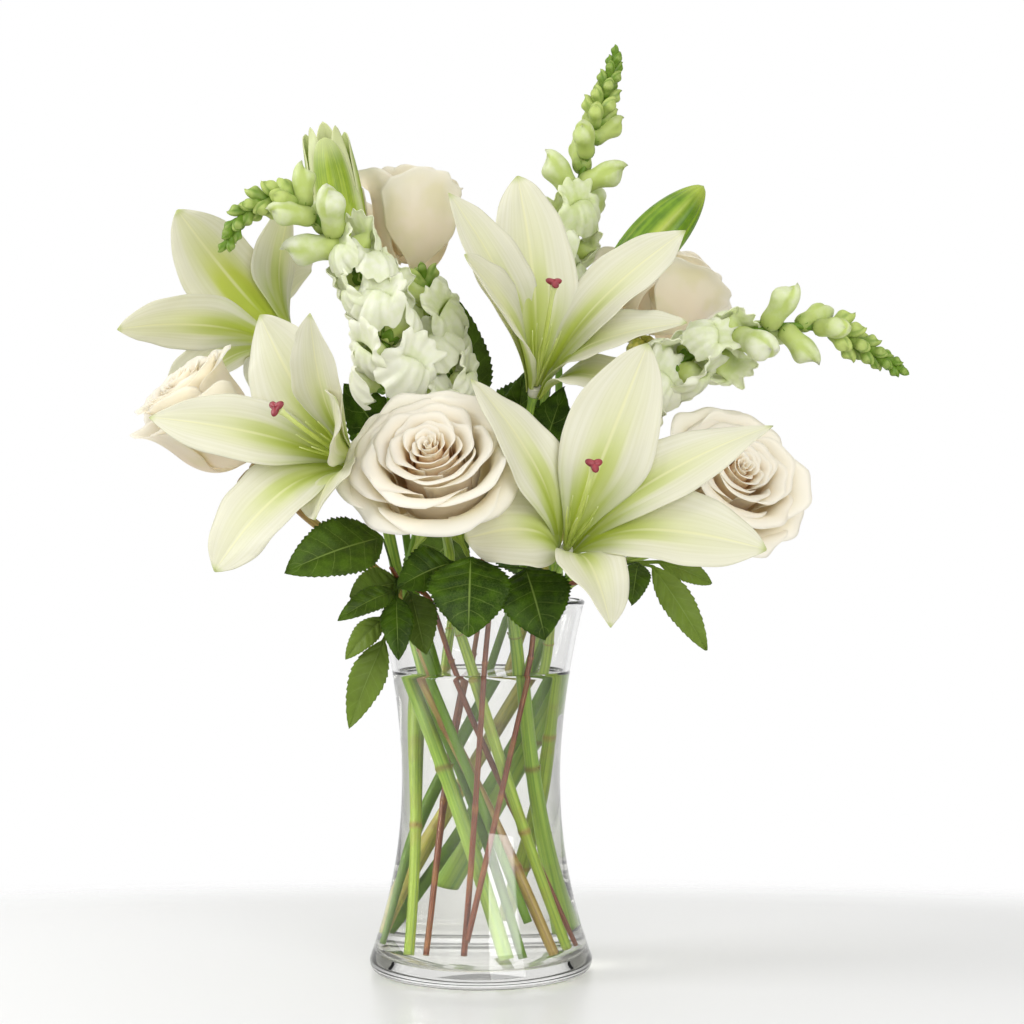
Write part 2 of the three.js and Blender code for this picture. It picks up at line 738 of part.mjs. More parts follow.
// Snapdragons. via leads each spike from the rim to its tip.
const SNAPDRAGONS = {
  top: {
    neck: 65,
    foot: [-176, 46],
    via: [[42, 58, 290], [45, 74, 380], [54, 76, 433]],
    end: [78, 74, 517],
    axis: [0.3, 0, 0.95],
    flowering: 150,
    florets: 6,
    buds: 10,
    phase: 40,
  },
  left: {
    neck: 146,
    foot: [-59, 40.4],
    via: [[-48, -12, 300], [-53, -18, 351], [-67, -16, 385], [-104, -14, 420], [-124, -16, 416]],
    end: [-137, -18, 396],
    axis: [-0.4, 0, -0.9],
    flowering: 160,
    florets: 7,
    buds: 7,
    phase: 180,
  },
  right: {
    neck: 1,
    foot: [144, 41],
    via: [[74, 16, 296], [104, 12, 330], [154, 8, 352], [190, 8, 352]],
    end: [231, 8, 330],
    axis: [0.8, 0, -0.5],
    flowering: 180,
    florets: 7,
    buds: 7,
    phase: 90,
  },
  middle: {
    neck: -153,
    foot: [-47, 44.8],
    cut: 0.1,
    via: [[-22, -6, 290], [-20, 6, 330]],
    end: [-32, 12, 382],
    axis: [-0.2, 0.1, 0.95],
    flowering: 84,
    florets: 5,
    buds: 2,
    phase: 0,
  },
};
for (const [name, spike] of Object.entries(SNAPDRAGONS)) {
  const route = stemRoute({ reach: 10, ...spike });
  holes.push(stemHole(route, SPIKE_RADIUS, 5));
  show(`snapdragon_${name}`, snapdragon({ ...spike, route }), COLOURS.spike);
}

// Leafy branches. Each leaf leaves its woody stem at the share t of the stem's length.
const FRONT = [0, -1, 0.35];
const BACK = [0, 1, 0.35];
const BRANCHES = {
  left: {
    neck: -129,
    foot: [-8, 45.1],
    end: [-46, -62, 222],
    axis: [-0.3, -0.8, 0.5],
    leaves: [
      { t: 0.99, from: [-50, -72, 238], to: [-97, -104, 221], width: 34, facing: FRONT, teeth: 5 },
      { t: 0.95, from: [-44, -66, 210], to: [-72, -84, 196], width: 15, facing: FRONT },
      { t: 0.96, from: [-43, -68, 207], to: [-41, -84, 175], width: 17, facing: FRONT },
      { t: 0.93, from: [-50, -58, 196], to: [-70, -60, 174], width: 14, facing: FRONT },
      { t: 0.9, from: [-50, -56, 184], to: [-68, -62, 138], width: 19, facing: FRONT },
    ],
  },
  centre: {
    neck: -84,
    foot: [-105, 29.6],
    end: [0, -78, 226],
    axis: [0, -0.9, 0.4],
    leaves: [
      { t: 0.99, from: [-4, -88, 228], to: [-5, -104, 188], width: 42, facing: FRONT, teeth: 5 },
      { t: 0.97, from: [24, -84, 222], to: [34, -102, 187], width: 38, facing: FRONT, teeth: 5 },
      { t: 0.94, from: [-14, -73, 225], to: [-42, -82, 212], width: 26, facing: FRONT },
    ],
  },
  right: {
    neck: -42,
    foot: [-103, 38.1],
    cut: 0.05,
    end: [78, -30, 226],
    axis: [0.6, -0.2, 0.4],
    leaves: [
      { t: 0.99, from: [92, -34, 222], to: [121, -34, 177], width: 18, facing: FRONT },
      { t: 0.97, from: [84, -38, 224], to: [80, -48, 202], width: 16, facing: FRONT },
      { t: 0.98, from: [96, -22, 224], to: [125, -18, 212], width: 13, facing: FRONT },
    ],
  },
  back: {
    neck: 90,
    foot: [-132, 39],
    end: [-6, 88, 296],
    axis: [-0.2, 0.4, 0.9],
    leaves: [
      { t: 0.995, from: [-12, 94, 300], to: [-44, 126, 336], width: 38, facing: BACK, teeth: 5 },
      { t: 0.97, from: [8, 96, 292], to: [42, 130, 334], width: 38, facing: BACK, teeth: 5 },
      { t: 0.88, from: [22, 94, 268], to: [74, 122, 282], width: 40, facing: BACK, teeth: 5 },
      { t: 0.86, from: [-16, 88, 262], to: [-72, 110, 268], width: 40, facing: BACK, teeth: 5 },
      { t: 0.78, from: [14, 82, 240], to: [40, 118, 206], width: 38, facing: BACK, teeth: 5 },
      { t: 0.8, from: [-12, 80, 240], to: [-48, 108, 204], width: 36, facing: BACK, teeth: 5 },
      { t: 0.99, from: [-6, 78, 308], to: [-16, 40, 374], width: 30, facing: FRONT },
      { t: 0.9, from: [18, 78, 280], to: [24, 44, 330], width: 28, facing: FRONT },
    ],
  },
};
for (const [name, spray] of Object.entries(BRANCHES)) {
  const route = stemRoute({ reach: 18, ...spray });
  const leaves = spray.leaves.map((one) => leaf({ ...one, joint: route.getPointAt(one.t) }));
  holes.push(stemHole(route, TWIG_RADIUS, 5));
  show(`branch_${name}`, fuse([stemTube(route, TWIG_RADIUS, 5), ...leaves]), COLOURS.leaf);
}

show("vase", buildVase(), COLOURS.glass, { roughness: 0.05, opacity: 0.35 });
show("water", buildWater(holes), COLOURS.water, { roughness: 0.05, opacity: 0.35 });

export default bouquet;
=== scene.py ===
"""Looks of white lilies with cream roses, snapdragons and leafy branches in a clear glass vase.

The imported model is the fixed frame. Each plant solid is replaced by the same form with finer petals,
leaves and stems, and the glass and the water by smooth turned shells. Sizes are in millimetres, and
become metres where a piece is finished. Angles are in degrees.
"""

import logging
import math
from dataclasses import dataclass
from enum import Enum
from functools import cache, cached_property, reduce
from typing import Callable, Sequence

import bmesh
import bpy
from mathutils import Matrix, Vector

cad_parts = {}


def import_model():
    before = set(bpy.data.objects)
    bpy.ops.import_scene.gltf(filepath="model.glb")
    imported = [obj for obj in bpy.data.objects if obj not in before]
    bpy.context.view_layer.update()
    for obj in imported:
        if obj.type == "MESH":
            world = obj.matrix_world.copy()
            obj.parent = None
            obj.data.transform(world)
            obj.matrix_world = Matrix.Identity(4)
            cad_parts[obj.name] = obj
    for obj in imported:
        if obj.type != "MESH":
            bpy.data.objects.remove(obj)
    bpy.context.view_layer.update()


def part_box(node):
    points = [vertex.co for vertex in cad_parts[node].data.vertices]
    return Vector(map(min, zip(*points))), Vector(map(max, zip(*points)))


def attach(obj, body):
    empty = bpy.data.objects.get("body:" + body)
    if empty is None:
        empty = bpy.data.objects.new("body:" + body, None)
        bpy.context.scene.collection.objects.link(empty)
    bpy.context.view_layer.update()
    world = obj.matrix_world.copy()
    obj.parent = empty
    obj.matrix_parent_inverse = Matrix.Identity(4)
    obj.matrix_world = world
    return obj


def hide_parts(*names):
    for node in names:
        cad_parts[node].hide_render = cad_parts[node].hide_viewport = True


log = logging.getLogger("bouquet")

MM = 0.001  # metres in a millimetre
GOLDEN_ANGLE = 137.5  # from each petal or floret to the next one round its stem
CLEARANCE = 0.3  # between a bloom and its stalk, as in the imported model
MERGE_DISTANCE = 0.005  # points nearer than this are one, which closes seams and poles
EDGE_THINNING = 0.65  # the share of its thickness that a petal or leaf loses at its edge
Surface = Callable[[float, float], Vector]
Pair = tuple[float, float]
Triple = tuple[float, float, float]
Socket = bpy.types.NodeSocket


# ---------------------------------------------------------------- curves and frames


def ease(t: float) -> float:
    """Returns a smooth step of t from 0 to 1."""
    c = min(1.0, max(0.0, t))
    return c * c * (3 - 2 * c)


def hump(x: float, centre: float, width: float) -> float:
    """Returns a bell round centre that is 1 high and about width wide to each side."""
    return math.exp(-(((x - centre) / width) ** 2))


def sine(angle: float) -> float:
    """Returns the sine of an angle in degrees."""
    return math.sin(math.radians(angle))


def cosine(angle: float) -> float:
    """Returns the cosine of an angle in degrees."""
    return math.cos(math.radians(angle))


def spread(low: float, high: float, count: int) -> list[float]:
    """Returns count numbers spread evenly from low to high."""
    return [low + (high - low) * i / (count - 1) for i in range(count)]


def along(values: Sequence[float], u: float) -> float:
    """Reads numbers that are spread evenly from 0 to 1.

    Args:
        values: the numbers.
        u: where to read them.

    Returns:
        The value at u, on the straight line between its two neighbours.
    """
    place = min(1.0, max(0.0, u)) * (len(values) - 1)
    i = min(len(values) - 2, math.floor(place))
    return values[i] + (values[i + 1] - values[i]) * (place - i)


def smooth_along(values: Sequence[float], u: float) -> float:
    """Returns what along gives, with the corners between the numbers rounded."""
    step = 0.25 / (len(values) - 1)
    return sum(along(values, u + k * step) for k in (-2, -1, 0, 1, 2)) / 5


def polar(angle: float, radius: float, height: float) -> Vector:
    """Returns a point round the Z axis, with its angle anticlockwise from +X."""
    return Vector((radius * cosine(angle), radius * sine(angle), height))


def basis(z: Vector, x: Vector, origin: Vector) -> Matrix:
    """Makes a frame from its main axis.

    Args:
        z: its Z axis, one unit long.
        x: a direction to which its X axis turns as near as it can.
        origin: where it stands.

    Returns:
        The frame.
    """
    x = (x - z * x.dot(z)).normalized()
    matrix = Matrix((x, z.cross(x), z)).transposed().to_4x4()
    matrix.translation = origin
    return matrix


@dataclass(frozen=True)
class Seat:
    """Where a bloom sits: the foot of its axis, and the way that the axis points."""

    base: Triple
    axis: Triple

    def frame(self) -> Matrix:
        """Returns the bloom's frame: Z is its axis, and X leans towards the sky."""
        return basis(Vector(self.axis).normalized(), Vector((0, 0, 1)), Vector(self.base))

    def behind(self, distance: float) -> Vector:
        """Returns the point on the axis this far behind the foot."""
        return Vector(self.base) - Vector(self.axis).normalized() * distance


class Midrib:
    """A line in the plane through a bloom's axis, which leans from the axis by angles spread along it."""

    PIECES = 40

    def __init__(self, radius: float, height: float, length: float, angles: Sequence[float]) -> None:
        """Walks the line once.

        Args:
            radius: its distance from the axis at the root.
            height: its height at the root.
            length: its length.
            angles: how far it leans from the axis, spread evenly from root to tip.
        """
        self.angles = angles
        self.radii = [radius]
        self.heights = [height]
        for i in range(self.PIECES):
            lean = along(angles, (i + 0.5) / self.PIECES)
            self.radii.append(self.radii[i] + sine(lean) * length / self.PIECES)
            self.heights.append(self.heights[i] + cosine(lean) * length / self.PIECES)

    def at(self, u: float) -> Triple:
        """Returns the radius, the height and the lean at u."""
        return along(self.radii, u), along(self.heights, u), along(self.angles, u)


class Route:
    """A smooth line through points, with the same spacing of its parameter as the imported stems."""

    DIVISIONS = 200
    TANGENT_STEP = 1e-4
    SIDE = Vector((0.3, 1, 0.2))  # slants from every stem, so that the first frame is never undefined

    def __init__(self, points: Sequence[Vector]) -> None:
        """Keeps the points and measures the line.

        Args:
            points: what the line runs through, from its cut end.
        """
        self.points = [Vector(p) for p in points]
        walk = [self.point(t) for t in spread(0, 1, self.DIVISIONS + 1)]
        self.lengths = [0.0]
        for before, after in zip(walk, walk[1:]):
            self.lengths.append(self.lengths[-1] + (after - before).length)

    @property
    def length(self) -> float:
        """The line's length."""
        return self.lengths[-1]

    def point(self, t: float) -> Vector:
        """Finds a point by the spans between the points that the line runs through.

        Args:
            t: the place on the line from 0 to 1, of which each span takes an equal share.

        Returns:
            The point at t, on a centripetal Catmull-Rom curve.
        """
        spans = len(self.points) - 1
        place = min(max(t, 0.0), 1.0) * spans
        i = min(spans - 1, math.floor(place))
        p1, p2 = self.points[i], self.points[i + 1]
        p0 = self.points[i - 1] if i > 0 else 2 * p1 - p2
        p3 = self.points[i + 2] if i + 2 <= spans else 2 * p2 - p1
        d0, d1, d2 = (math.sqrt((b - a).length) for a, b in ((p0, p1), (p1, p2), (p2, p3)))
        t1 = ((p1 - p0) / d0 - (p2 - p0) / (d0 + d1) + (p2 - p1) / d1) * d1
        t2 = ((p2 - p1) / d1 - (p3 - p1) / (d1 + d2) + (p3 - p2) / d2) * d1
        w = place - i
        return p1 + t1 * w + (3 * (p2 - p1) - 2 * t1 - t2) * w**2 + (2 * (p1 - p2) + t1 + t2) * w**3

    def tangent(self, t: float) -> Vector:
        """Returns the direction at t."""
        before, after = max(0, t - self.TANGENT_STEP), min(1, t + self.TANGENT_STEP)
        return (self.point(after) - self.point(before)).normalized()

    def share(self, u: float) -> float:
        """Turns a share of the length into the line's own parameter.

        Args:
            u: the share, from 0 to 1.

        Returns:
            The t at that share.
        """
        target = u * self.length
        i = next(n for n, run in enumerate(self.lengths) if run >= target or n == self.DIVISIONS)
        if i == 0:
            return 0.0
        low, high = self.lengths[i - 1], self.lengths[i]
        return (i - 1 + (target - low) / (high - low)) / self.DIVISIONS

    def frames(self, stations: Sequence[float]) -> list[Matrix]:
        """Sets frames along the line, with no twist from one to the next.

        Args:
            stations: the t of each frame.

        Returns:
            The frames, with Z along the line.
        """
        side = self.SIDE
        made = []
        for t in stations:
            frame = basis(self.tangent(t), side, self.point(t))
            side = frame.col[0].to_3d()
            made.append(frame)
        return made


# ---------------------------------------------------------------- meshes


def add_object(name: str, data: bpy.types.ID, place: Triple = (0, 0, 0)) -> bpy.types.Object:
    """Adds an object to the scene.

    Args:
        name: its name.
        data: its mesh, light or camera.
        place: where it stands.

    Returns:
        The object.
    """
    made = bpy.data.objects.new(name, data)
    made.location = Vector(place) * MM
    bpy.context.scene.collection.objects.link(made)
    return made


class PieceMesh:
    """A mesh in millimetres that grows sheet by sheet and then becomes one piece of the scene."""

    def __init__(self) -> None:
        """Starts an empty mesh with a UV map, a tone and a thickness for each point."""
        self.bm = bmesh.new()
        self.bm.loops.layers.uv.new("UVMap")
        self.tone = self.bm.verts.layers.float.new("tone")
        self.weight = self.bm.verts.layers.deform.new()

    def sheet(
        self, surface: Surface, rows: int, columns: int, place: Matrix = Matrix(),
        tone: float | Surface = 0.0, thin_edges: bool = False,
    ) -> None:
        """Adds a grid bent to a surface, with u along it and v across it in its UV map.

        Args:
            surface: the point at u from 0 to 1 and v from -1 to 1.
            rows: how many faces run along u.
            columns: how many faces run along v.
            place: where the sheet goes.
            tone: a number that the finish reads, or a function of u and v that gives it.
            thin_edges: whether the sheet gets thinner towards its edges and tip.
        """
        made = bmesh.ops.create_grid(self.bm, x_segments=columns, y_segments=rows, size=1.0, calc_uvs=True)
        for vert in made["verts"]:
            u, v = (vert.co.y + 1) / 2, vert.co.x
            vert[self.tone] = tone(u, v) if callable(tone) else tone
            vert[self.weight][0] = 1 - EDGE_THINNING * max(abs(v) ** 4, u**8) if thin_edges else 1.0
            vert.co = place @ surface(u, v)
        bmesh.ops.remove_doubles(self.bm, verts=made["verts"], dist=MERGE_DISTANCE)

    def tube(
        self, route: Route, radius: Callable[[float], float], rings: int, sides: int,
        tone: Callable[[float], float] = lambda t: 0.0,
    ) -> None:
        """Adds a closed round tube along a route.

        Args:
            route: its middle line.
            radius: the radius at t.
            rings: how many rings it has.
            sides: how many sides it has.
            tone: the tone at t.
        """
        stations = [0.0, *spread(0, 1, rings), 1.0]
        frames = route.frames(stations)
        last = len(stations) - 1

        def surface(u: float, v: float) -> Vector:
            """Returns a point on a ring. The first and the last ring close to a point."""
            i = round(u * last)
            return frames[i] @ polar(180 * v, 0.0 if i in (0, last) else radius(stations[i]), 0)

        self.sheet(surface, last, sides, tone=lambda u, v: tone(stations[round(u * last)]))

    def body(
        self, profile: Callable[[float, float], Pair], rows: int, sides: int, place: Matrix,
        tone: float | Surface = 0.0,
    ) -> None:
        """Adds a closed body round the Z axis of place.

        Args:
            profile: the radius and the height at u from foot to tip, and at an angle.
            rows: how many faces it has from foot to tip.
            sides: how many faces go round it.
            place: where the body goes.
            tone: as for a sheet.
        """

        def surface(u: float, v: float) -> Vector:
            """Returns the profile's point at the angle that v stands for."""
            return polar(180 * v, *profile(u, 180 * v))

        self.sheet(surface, rows, sides, place, tone)

    def lathe(self, profile: Sequence[Pair], sides: int) -> None:
        """Turns a profile that starts and ends on the axis round Z.

        Args:
            profile: radius and height of each corner.
            sides: how many faces go round.
        """
        verts = [self.bm.verts.new((radius, 0, height)) for radius, height in profile]
        edges = [self.bm.edges.new(pair) for pair in zip(verts, verts[1:])]
        turn = {"cent": (0, 0, 0), "axis": (0, 0, 1), "angle": 2 * math.pi, "steps": sides}
        bmesh.ops.spin(self.bm, geom=verts + edges, use_merge=True, **turn)
        bmesh.ops.remove_doubles(self.bm, verts=self.bm.verts[:], dist=MERGE_DISTANCE)

    def finish(self, name: str, look: "Finish", slot: str, node: str, thickness: float = 0.0) -> None:
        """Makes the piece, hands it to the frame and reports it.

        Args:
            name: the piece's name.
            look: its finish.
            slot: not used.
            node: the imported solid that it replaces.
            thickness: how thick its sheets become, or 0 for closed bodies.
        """
        bmesh.ops.scale(self.bm, vec=(MM, MM, MM), verts=self.bm.verts[:])
        bmesh.ops.recalc_face_normals(self.bm, faces=self.bm.faces[:])
        for face in self.bm.faces:
            face.smooth = True
        mesh = bpy.data.meshes.new(name)
        self.bm.to_mesh(mesh)
        self.bm.free()
        mesh.materials.append(look.material())
        piece = add_object(name, mesh)
        group = piece.vertex_groups.new(name="thickness")
        if thickness:
            wall = piece.modifiers.new("wall", "SOLIDIFY")
            wall.thickness = thickness * MM
            wall.offset = 0.0
            wall.vertex_group = group.name
            wall.use_even_offset = False
        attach(piece, "root")
        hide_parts(node)
        log.info("%s: %d faces", name, len(mesh.polygons))


# ---------------------------------------------------------------- finishes


def colour(code: str) -> tuple[float, float, float, float]:
    """Turns a colour from sRGB to linear.

    Args:
        code: its six hex digits.

    Returns:
        Linear red, green and blue, and full opacity.
    """
    values = [int(code[i : i + 2], 16) / 255 for i in (0, 2, 4)]
    red, green, blue = (v / 12.92 if v <= 0.04045 else ((v + 0.055) / 1.055) ** 2.4 for v in values)
    return red, green, blue, 1.0


def add_node(
    tree: bpy.types.NodeTree, kind: str, inputs: dict | Sequence = (), **settings: object
) -> bpy.types.Node:
    """Adds a shader node with its settings and links.

    Args:
        tree: the nodes of a material or a world.
        kind: the node's type, after the word ShaderNode.
        inputs: numbers, hex colours or other nodes' outputs, in their order or by socket.
        settings: the node's own properties.

    Returns:
        The new node.
    """
    made = tree.nodes.new(f"ShaderNode{kind}")
    for key, value in settings.items():
        setattr(made, key, value)
    for socket, value in inputs.items() if isinstance(inputs, dict) else enumerate(inputs):
        if isinstance(value, Socket):
            tree.links.new(value, made.inputs[socket])
        else:
            made.inputs[socket].default_value = colour(value) if isinstance(value, str) else value
    return made


class Shader:
    """A material or world under construction: its nodes, and what they can read of each point."""

    def __init__(self, block: bpy.types.Material | bpy.types.World) -> None:
        """Empties the nodes.

        Args:
            block: the new material or world.
        """
        self.block = block
        block.use_nodes = True
        self.tree = block.node_tree
        self.tree.nodes.clear()

    @cached_property
    def uv(self) -> Socket:
        """The UV map, with the way across the sheet in X and the way along it in Y."""
        return self.add("UVMap", uv_map="UVMap")

    @cached_property
    def run(self) -> Socket:
        """The share of the way along the sheet."""
        return self.add("SeparateXYZ", (self.uv,), out="Y")

    @cached_property
    def edge(self) -> Socket:
        """The share of the way from the sheet's middle to its edge."""
        across = self.add("Math", (self.add("SeparateXYZ", (self.uv,), out="X"), 0.5), operation="SUBTRACT")
        return self.product(self.add("Math", (across,), operation="ABSOLUTE"), 2.0)

    @cached_property
    def tone(self) -> Socket:
        """The tone that the mesh keeps for each point."""
        return self.add("Attribute", out="Fac", attribute_name="tone")

    def add(self, kind: str, inputs: dict | Sequence = (), out: int | str = 0, **settings: object) -> Socket:
        """Adds a node and returns one of its outputs."""
        return add_node(self.tree, kind, inputs, **settings).outputs[out]

    def product(self, *values: object) -> Socket:
        """Returns the product of numbers or sockets, two at a time."""
        return reduce(lambda a, b: self.add("Math", (a, b), operation="MULTIPLY"), values)

    def total(self, *values: object) -> Socket:
        """Returns the sum of numbers or sockets, two at a time."""
        return reduce(lambda a, b: self.add("Math", (a, b), operation="ADD"), values)

    def fade(self, value: object, low: float, high: float, start: float = 0.0, end: float = 1.0) -> Socket:
        """Returns a smooth change from start to end while value goes from low to high."""
        return self.add("MapRange", (value, low, high, start, end), interpolation_type="SMOOTHSTEP")

    def blend(self, share: object, first: object, second: object) -> Socket:
        """Returns the colour between first and second at share."""
        return self.add("Mix", {0: share, 6: first, 7: second}, out=2, data_type="RGBA")

    def streaks(self, across: float, length: float, detail: float = 2.0) -> Socket:
        """Returns noise drawn out along the sheet, with this many streaks across and lengths along it."""
        stretched = self.add("Mapping", {"Vector": self.uv, "Scale": (across, length, 1.0)})
        return self.add("TexNoise", {"Vector": stretched, "Scale": 1.0, "Detail": detail})

    def speckle(self, size: float, detail: float = 2.0) -> Socket:
        """Returns noise on the object's own coordinates, with grains of this size."""
        inputs = {"Vector": self.add("TexCoord", out="Object"), "Scale": 1 / (size * MM), "Detail": detail}
        return self.add("TexNoise", inputs)

    def skin(
        self, shown: Socket, height: Socket, depth: float, strength: float, glow: float = 0.0,
        tint: Socket | None = None, **sockets: object,
    ) -> None:
        """Ends the material with a Principled shader, through which some light shines from behind.

        Args:
            shown: its colour.
            height: the pattern of its relief.
            depth: how high the relief rises.
            strength: how much of the relief shows.
            glow: the share of the light that shines through.
            tint: the colour of that light, unless it is the skin's own.
            sockets: the Principled shader's other sockets, with an underscore for a space.
        """
        relief = self.add("Bump", {"Height": height, "Distance": depth * MM, "Strength": strength})
        inputs = {key.replace("_", " "): value for key, value in sockets.items()}
        front = self.add("BsdfPrincipled", {"Base Color": shown, "Normal": relief, **inputs})
        if glow:
            behind = self.add("BsdfTranslucent", {"Color": shown if tint is None else tint})
            front = self.add("MixShader", (glow, front, behind))
        add_node(self.tree, "OutputMaterial", {"Surface": front})


@dataclass(frozen=True)
class Finish:
    """A named look, drawn as one material however many pieces wear it."""

    name: str

    def draw(self, mat: Shader) -> None:
        """Draws the nodes. Each kind of finish has its own way."""
        raise NotImplementedError

    @cache
    def material(self) -> bpy.types.Material:
        """Makes the material at its first use.

        Returns:
            The material.
        """
        mat = Shader(bpy.data.materials.new(self.name))
        self.draw(mat)
        return mat.block


@dataclass(frozen=True)
class LilyPetalFinish(Finish):
    """Fresh lily petal: waxy white, with a green throat, a yellow-green wash along it and faint veins."""

    name: str = "lily_petal_waxy_white"
    white: str = "ECEADB"
    shade: str = "E2E0CB"
    throat: str = "B4C636"
    wash: str = "D2DA62"
    rib: str = "F3F1C6"
    tip: str = "AFC04A"
    glow: str = "E6E894"

    def draw(self, mat: Shader) -> None:
        """Draws the petal. Its tone is the strength of the wash, and its veins run to the tip.

        Args:
            mat: the material under construction.
        """
        veins = mat.streaks(across=24, length=1.3)
        white = mat.blend(mat.fade(veins, 0.35, 0.75), self.white, self.shade)
        drift = mat.fade(mat.streaks(across=4, length=1.5, detail=1.0), 0.25, 0.75, -0.16, 0.16)
        band = mat.fade(mat.total(mat.edge, drift), 0.05, 0.8, 1.0, 0.0)
        washed = mat.product(band, mat.tone, mat.fade(mat.run, 0.2, 0.95, 1.0, 0.15))
        yellowed = mat.blend(washed, white, self.wash)
        reach = mat.total(mat.run, mat.total(drift, mat.product(mat.edge, 0.2)))
        throat = mat.blend(mat.fade(reach, 0.05, 0.7, 1.0, 0.0), yellowed, self.throat)
        rib = mat.product(mat.fade(mat.edge, 0.01, 0.06, 0.6, 0.0), mat.fade(mat.run, 0.2, 0.5))
        ribbed = mat.blend(rib, throat, self.rib)
        tinted = mat.blend(mat.fade(mat.run, 0.955, 1.0, 0.0, 0.6), ribbed, self.tip)
        height = mat.total(mat.product(veins, 0.4), mat.product(mat.speckle(1.8), 0.15))
        light = mat.blend(0.4, tinted, self.glow)
        mat.skin(tinted, height, 0.3, 0.4, 0.34, light, Roughness=0.46, IOR=1.42, Sheen_Weight=0.12)


@dataclass(frozen=True)
class RosePetalFinish(Finish):
    """Fresh rose petal: velvety cream, with painted warm peach shade deep between the inner petals, and pale
    at the rims.
    """

    name: str = "rose_petal_velvety_cream"
    heart: str = "FFF7E6"
    rim: str = "FFFFFB"
    # painted shade: the warm peach of the shaded recesses between the inner petals
    painted_peach_shade: str = "FFD08E"
    outer: str = "FDFCF4"
    green: str = "F1F0D0"
    glow: str = "FFF3D8"

    def draw(self, mat: Shader) -> None:
        """Draws the petal. Its tone is 0 at the heart and 1 for the outermost petals.

        Args:
            mat: the material under construction.
        """
        body = mat.blend(mat.fade(mat.tone, 0.1, 0.8), self.heart, self.outer)
        # Painted shade: warm peach at the foot of the inner petals, deep in the cup, stands in for the shade
        # between them.
        depth = mat.fade(mat.run, 0.45, 0.9, 1.0, 0.0)
        washed = mat.blend(mat.product(depth, mat.fade(mat.tone, 0.1, 0.75, 1.0, 0.12)), body, self.painted_peach_shade)
        patch = mat.fade(mat.speckle(16.0), 0.45, 0.7)
        greened = mat.blend(mat.product(patch, mat.fade(mat.tone, 0.7, 1.0, 0.0, 0.5)), washed, self.green)
        edged = mat.blend(mat.fade(mat.run, 0.8, 0.97), greened, self.rim)
        veins = mat.product(mat.streaks(across=22, length=2.2), 0.7)
        height = mat.total(veins, mat.product(mat.speckle(0.9), 0.3))
        light = mat.blend(0.5, edged, self.glow)
        velvet = {"Roughness": 0.58, "Sheen Weight": 0.2, "Sheen Roughness": 0.4}
        mat.skin(edged, height, 0.3, 0.35, 0.56, light, **velvet)


@dataclass(frozen=True)
class SnapdragonFinish(Finish):
    """Snapdragon flowers and stem: soft greenish white where open, and bright green in bud."""

    name: str = "snapdragon_soft_petal_and_stem"
    white: str = "FEFEF4"
    lime: str = "D6E488"
    green: str = "7BA32C"

    def draw(self, mat: Shader) -> None:
        """Draws the spike. Its tone goes from 0, open petal, by way of 0.5, bud, to 1, stem.

        Args:
            mat: the material under construction.
        """
        mottle = mat.total(mat.tone, mat.fade(mat.speckle(5.0), 0.3, 0.7, -0.05, 0.05))
        pale = mat.blend(mat.fade(mottle, 0.0, 0.5), self.white, self.lime)
        shown = mat.blend(mat.fade(mottle, 0.5, 1.0), pale, self.green)
        mat.skin(shown, mat.streaks(across=30, length=3.0), 0.3, 0.4, 0.42, Roughness=0.45)


@dataclass(frozen=True)
class WaxyGreenFinish(Finish):
    """Smooth waxy plant skin with faint ridges along it, such as a lily's bud, style or stigma."""

    light: str
    dark: str
    flush: str
    flush_from: float = 0.6
    glow: float = 0.12
    ridges: float = 30.0

    def draw(self, mat: Shader) -> None:
        """Draws the skin. Its flush shows towards the end of each sheet and where the tone is high.

        Args:
            mat: the material under construction.
        """
        lines = mat.streaks(across=self.ridges, length=1.2)
        mix = mat.total(mat.product(lines, 0.6), mat.product(mat.speckle(9.0), 0.4))
        skin = mat.blend(mat.fade(mix, 0.35, 0.65), self.light, self.dark)
        end = mat.fade(mat.run, self.flush_from, 1.0, 0.0, 0.6)
        shown = mat.blend(mat.add("Math", (end, mat.tone), operation="MAXIMUM"), skin, self.flush)
        mat.skin(shown, lines, 0.3, 0.5, self.glow, Roughness=0.42)


@dataclass(frozen=True)
class StemFinish(Finish):
    """Cut stem: green or woody skin with long fibres, brown at its knots, and a pale cut end."""

    light: str
    dark: str
    bark: str
    bark_share: float
    cut: str = "D8D3A4"

    def draw(self, mat: Shader) -> None:
        """Draws the stem. A tone from 0 to 0.5 is a knot.

        Args:
            mat: the material under construction.
        """
        fibres = mat.streaks(across=16, length=5.0, detail=3.0)
        green = mat.blend(mat.fade(fibres, 0.35, 0.65), self.light, self.dark)
        blotch = mat.fade(mat.speckle(14.0, detail=3.0), 0.45, 0.75, 0.0, self.bark_share)
        knot = mat.fade(mat.tone, 0.05, 0.4, 0.0, 0.8)
        barked = mat.blend(mat.add("Math", (blotch, knot), operation="MAXIMUM"), green, self.bark)
        shown = mat.blend(mat.fade(mat.run, 0.0, 0.006, 0.7, 0.0), barked, self.cut)
        mat.skin(shown, fibres, 0.4, 0.7, Roughness=0.4)


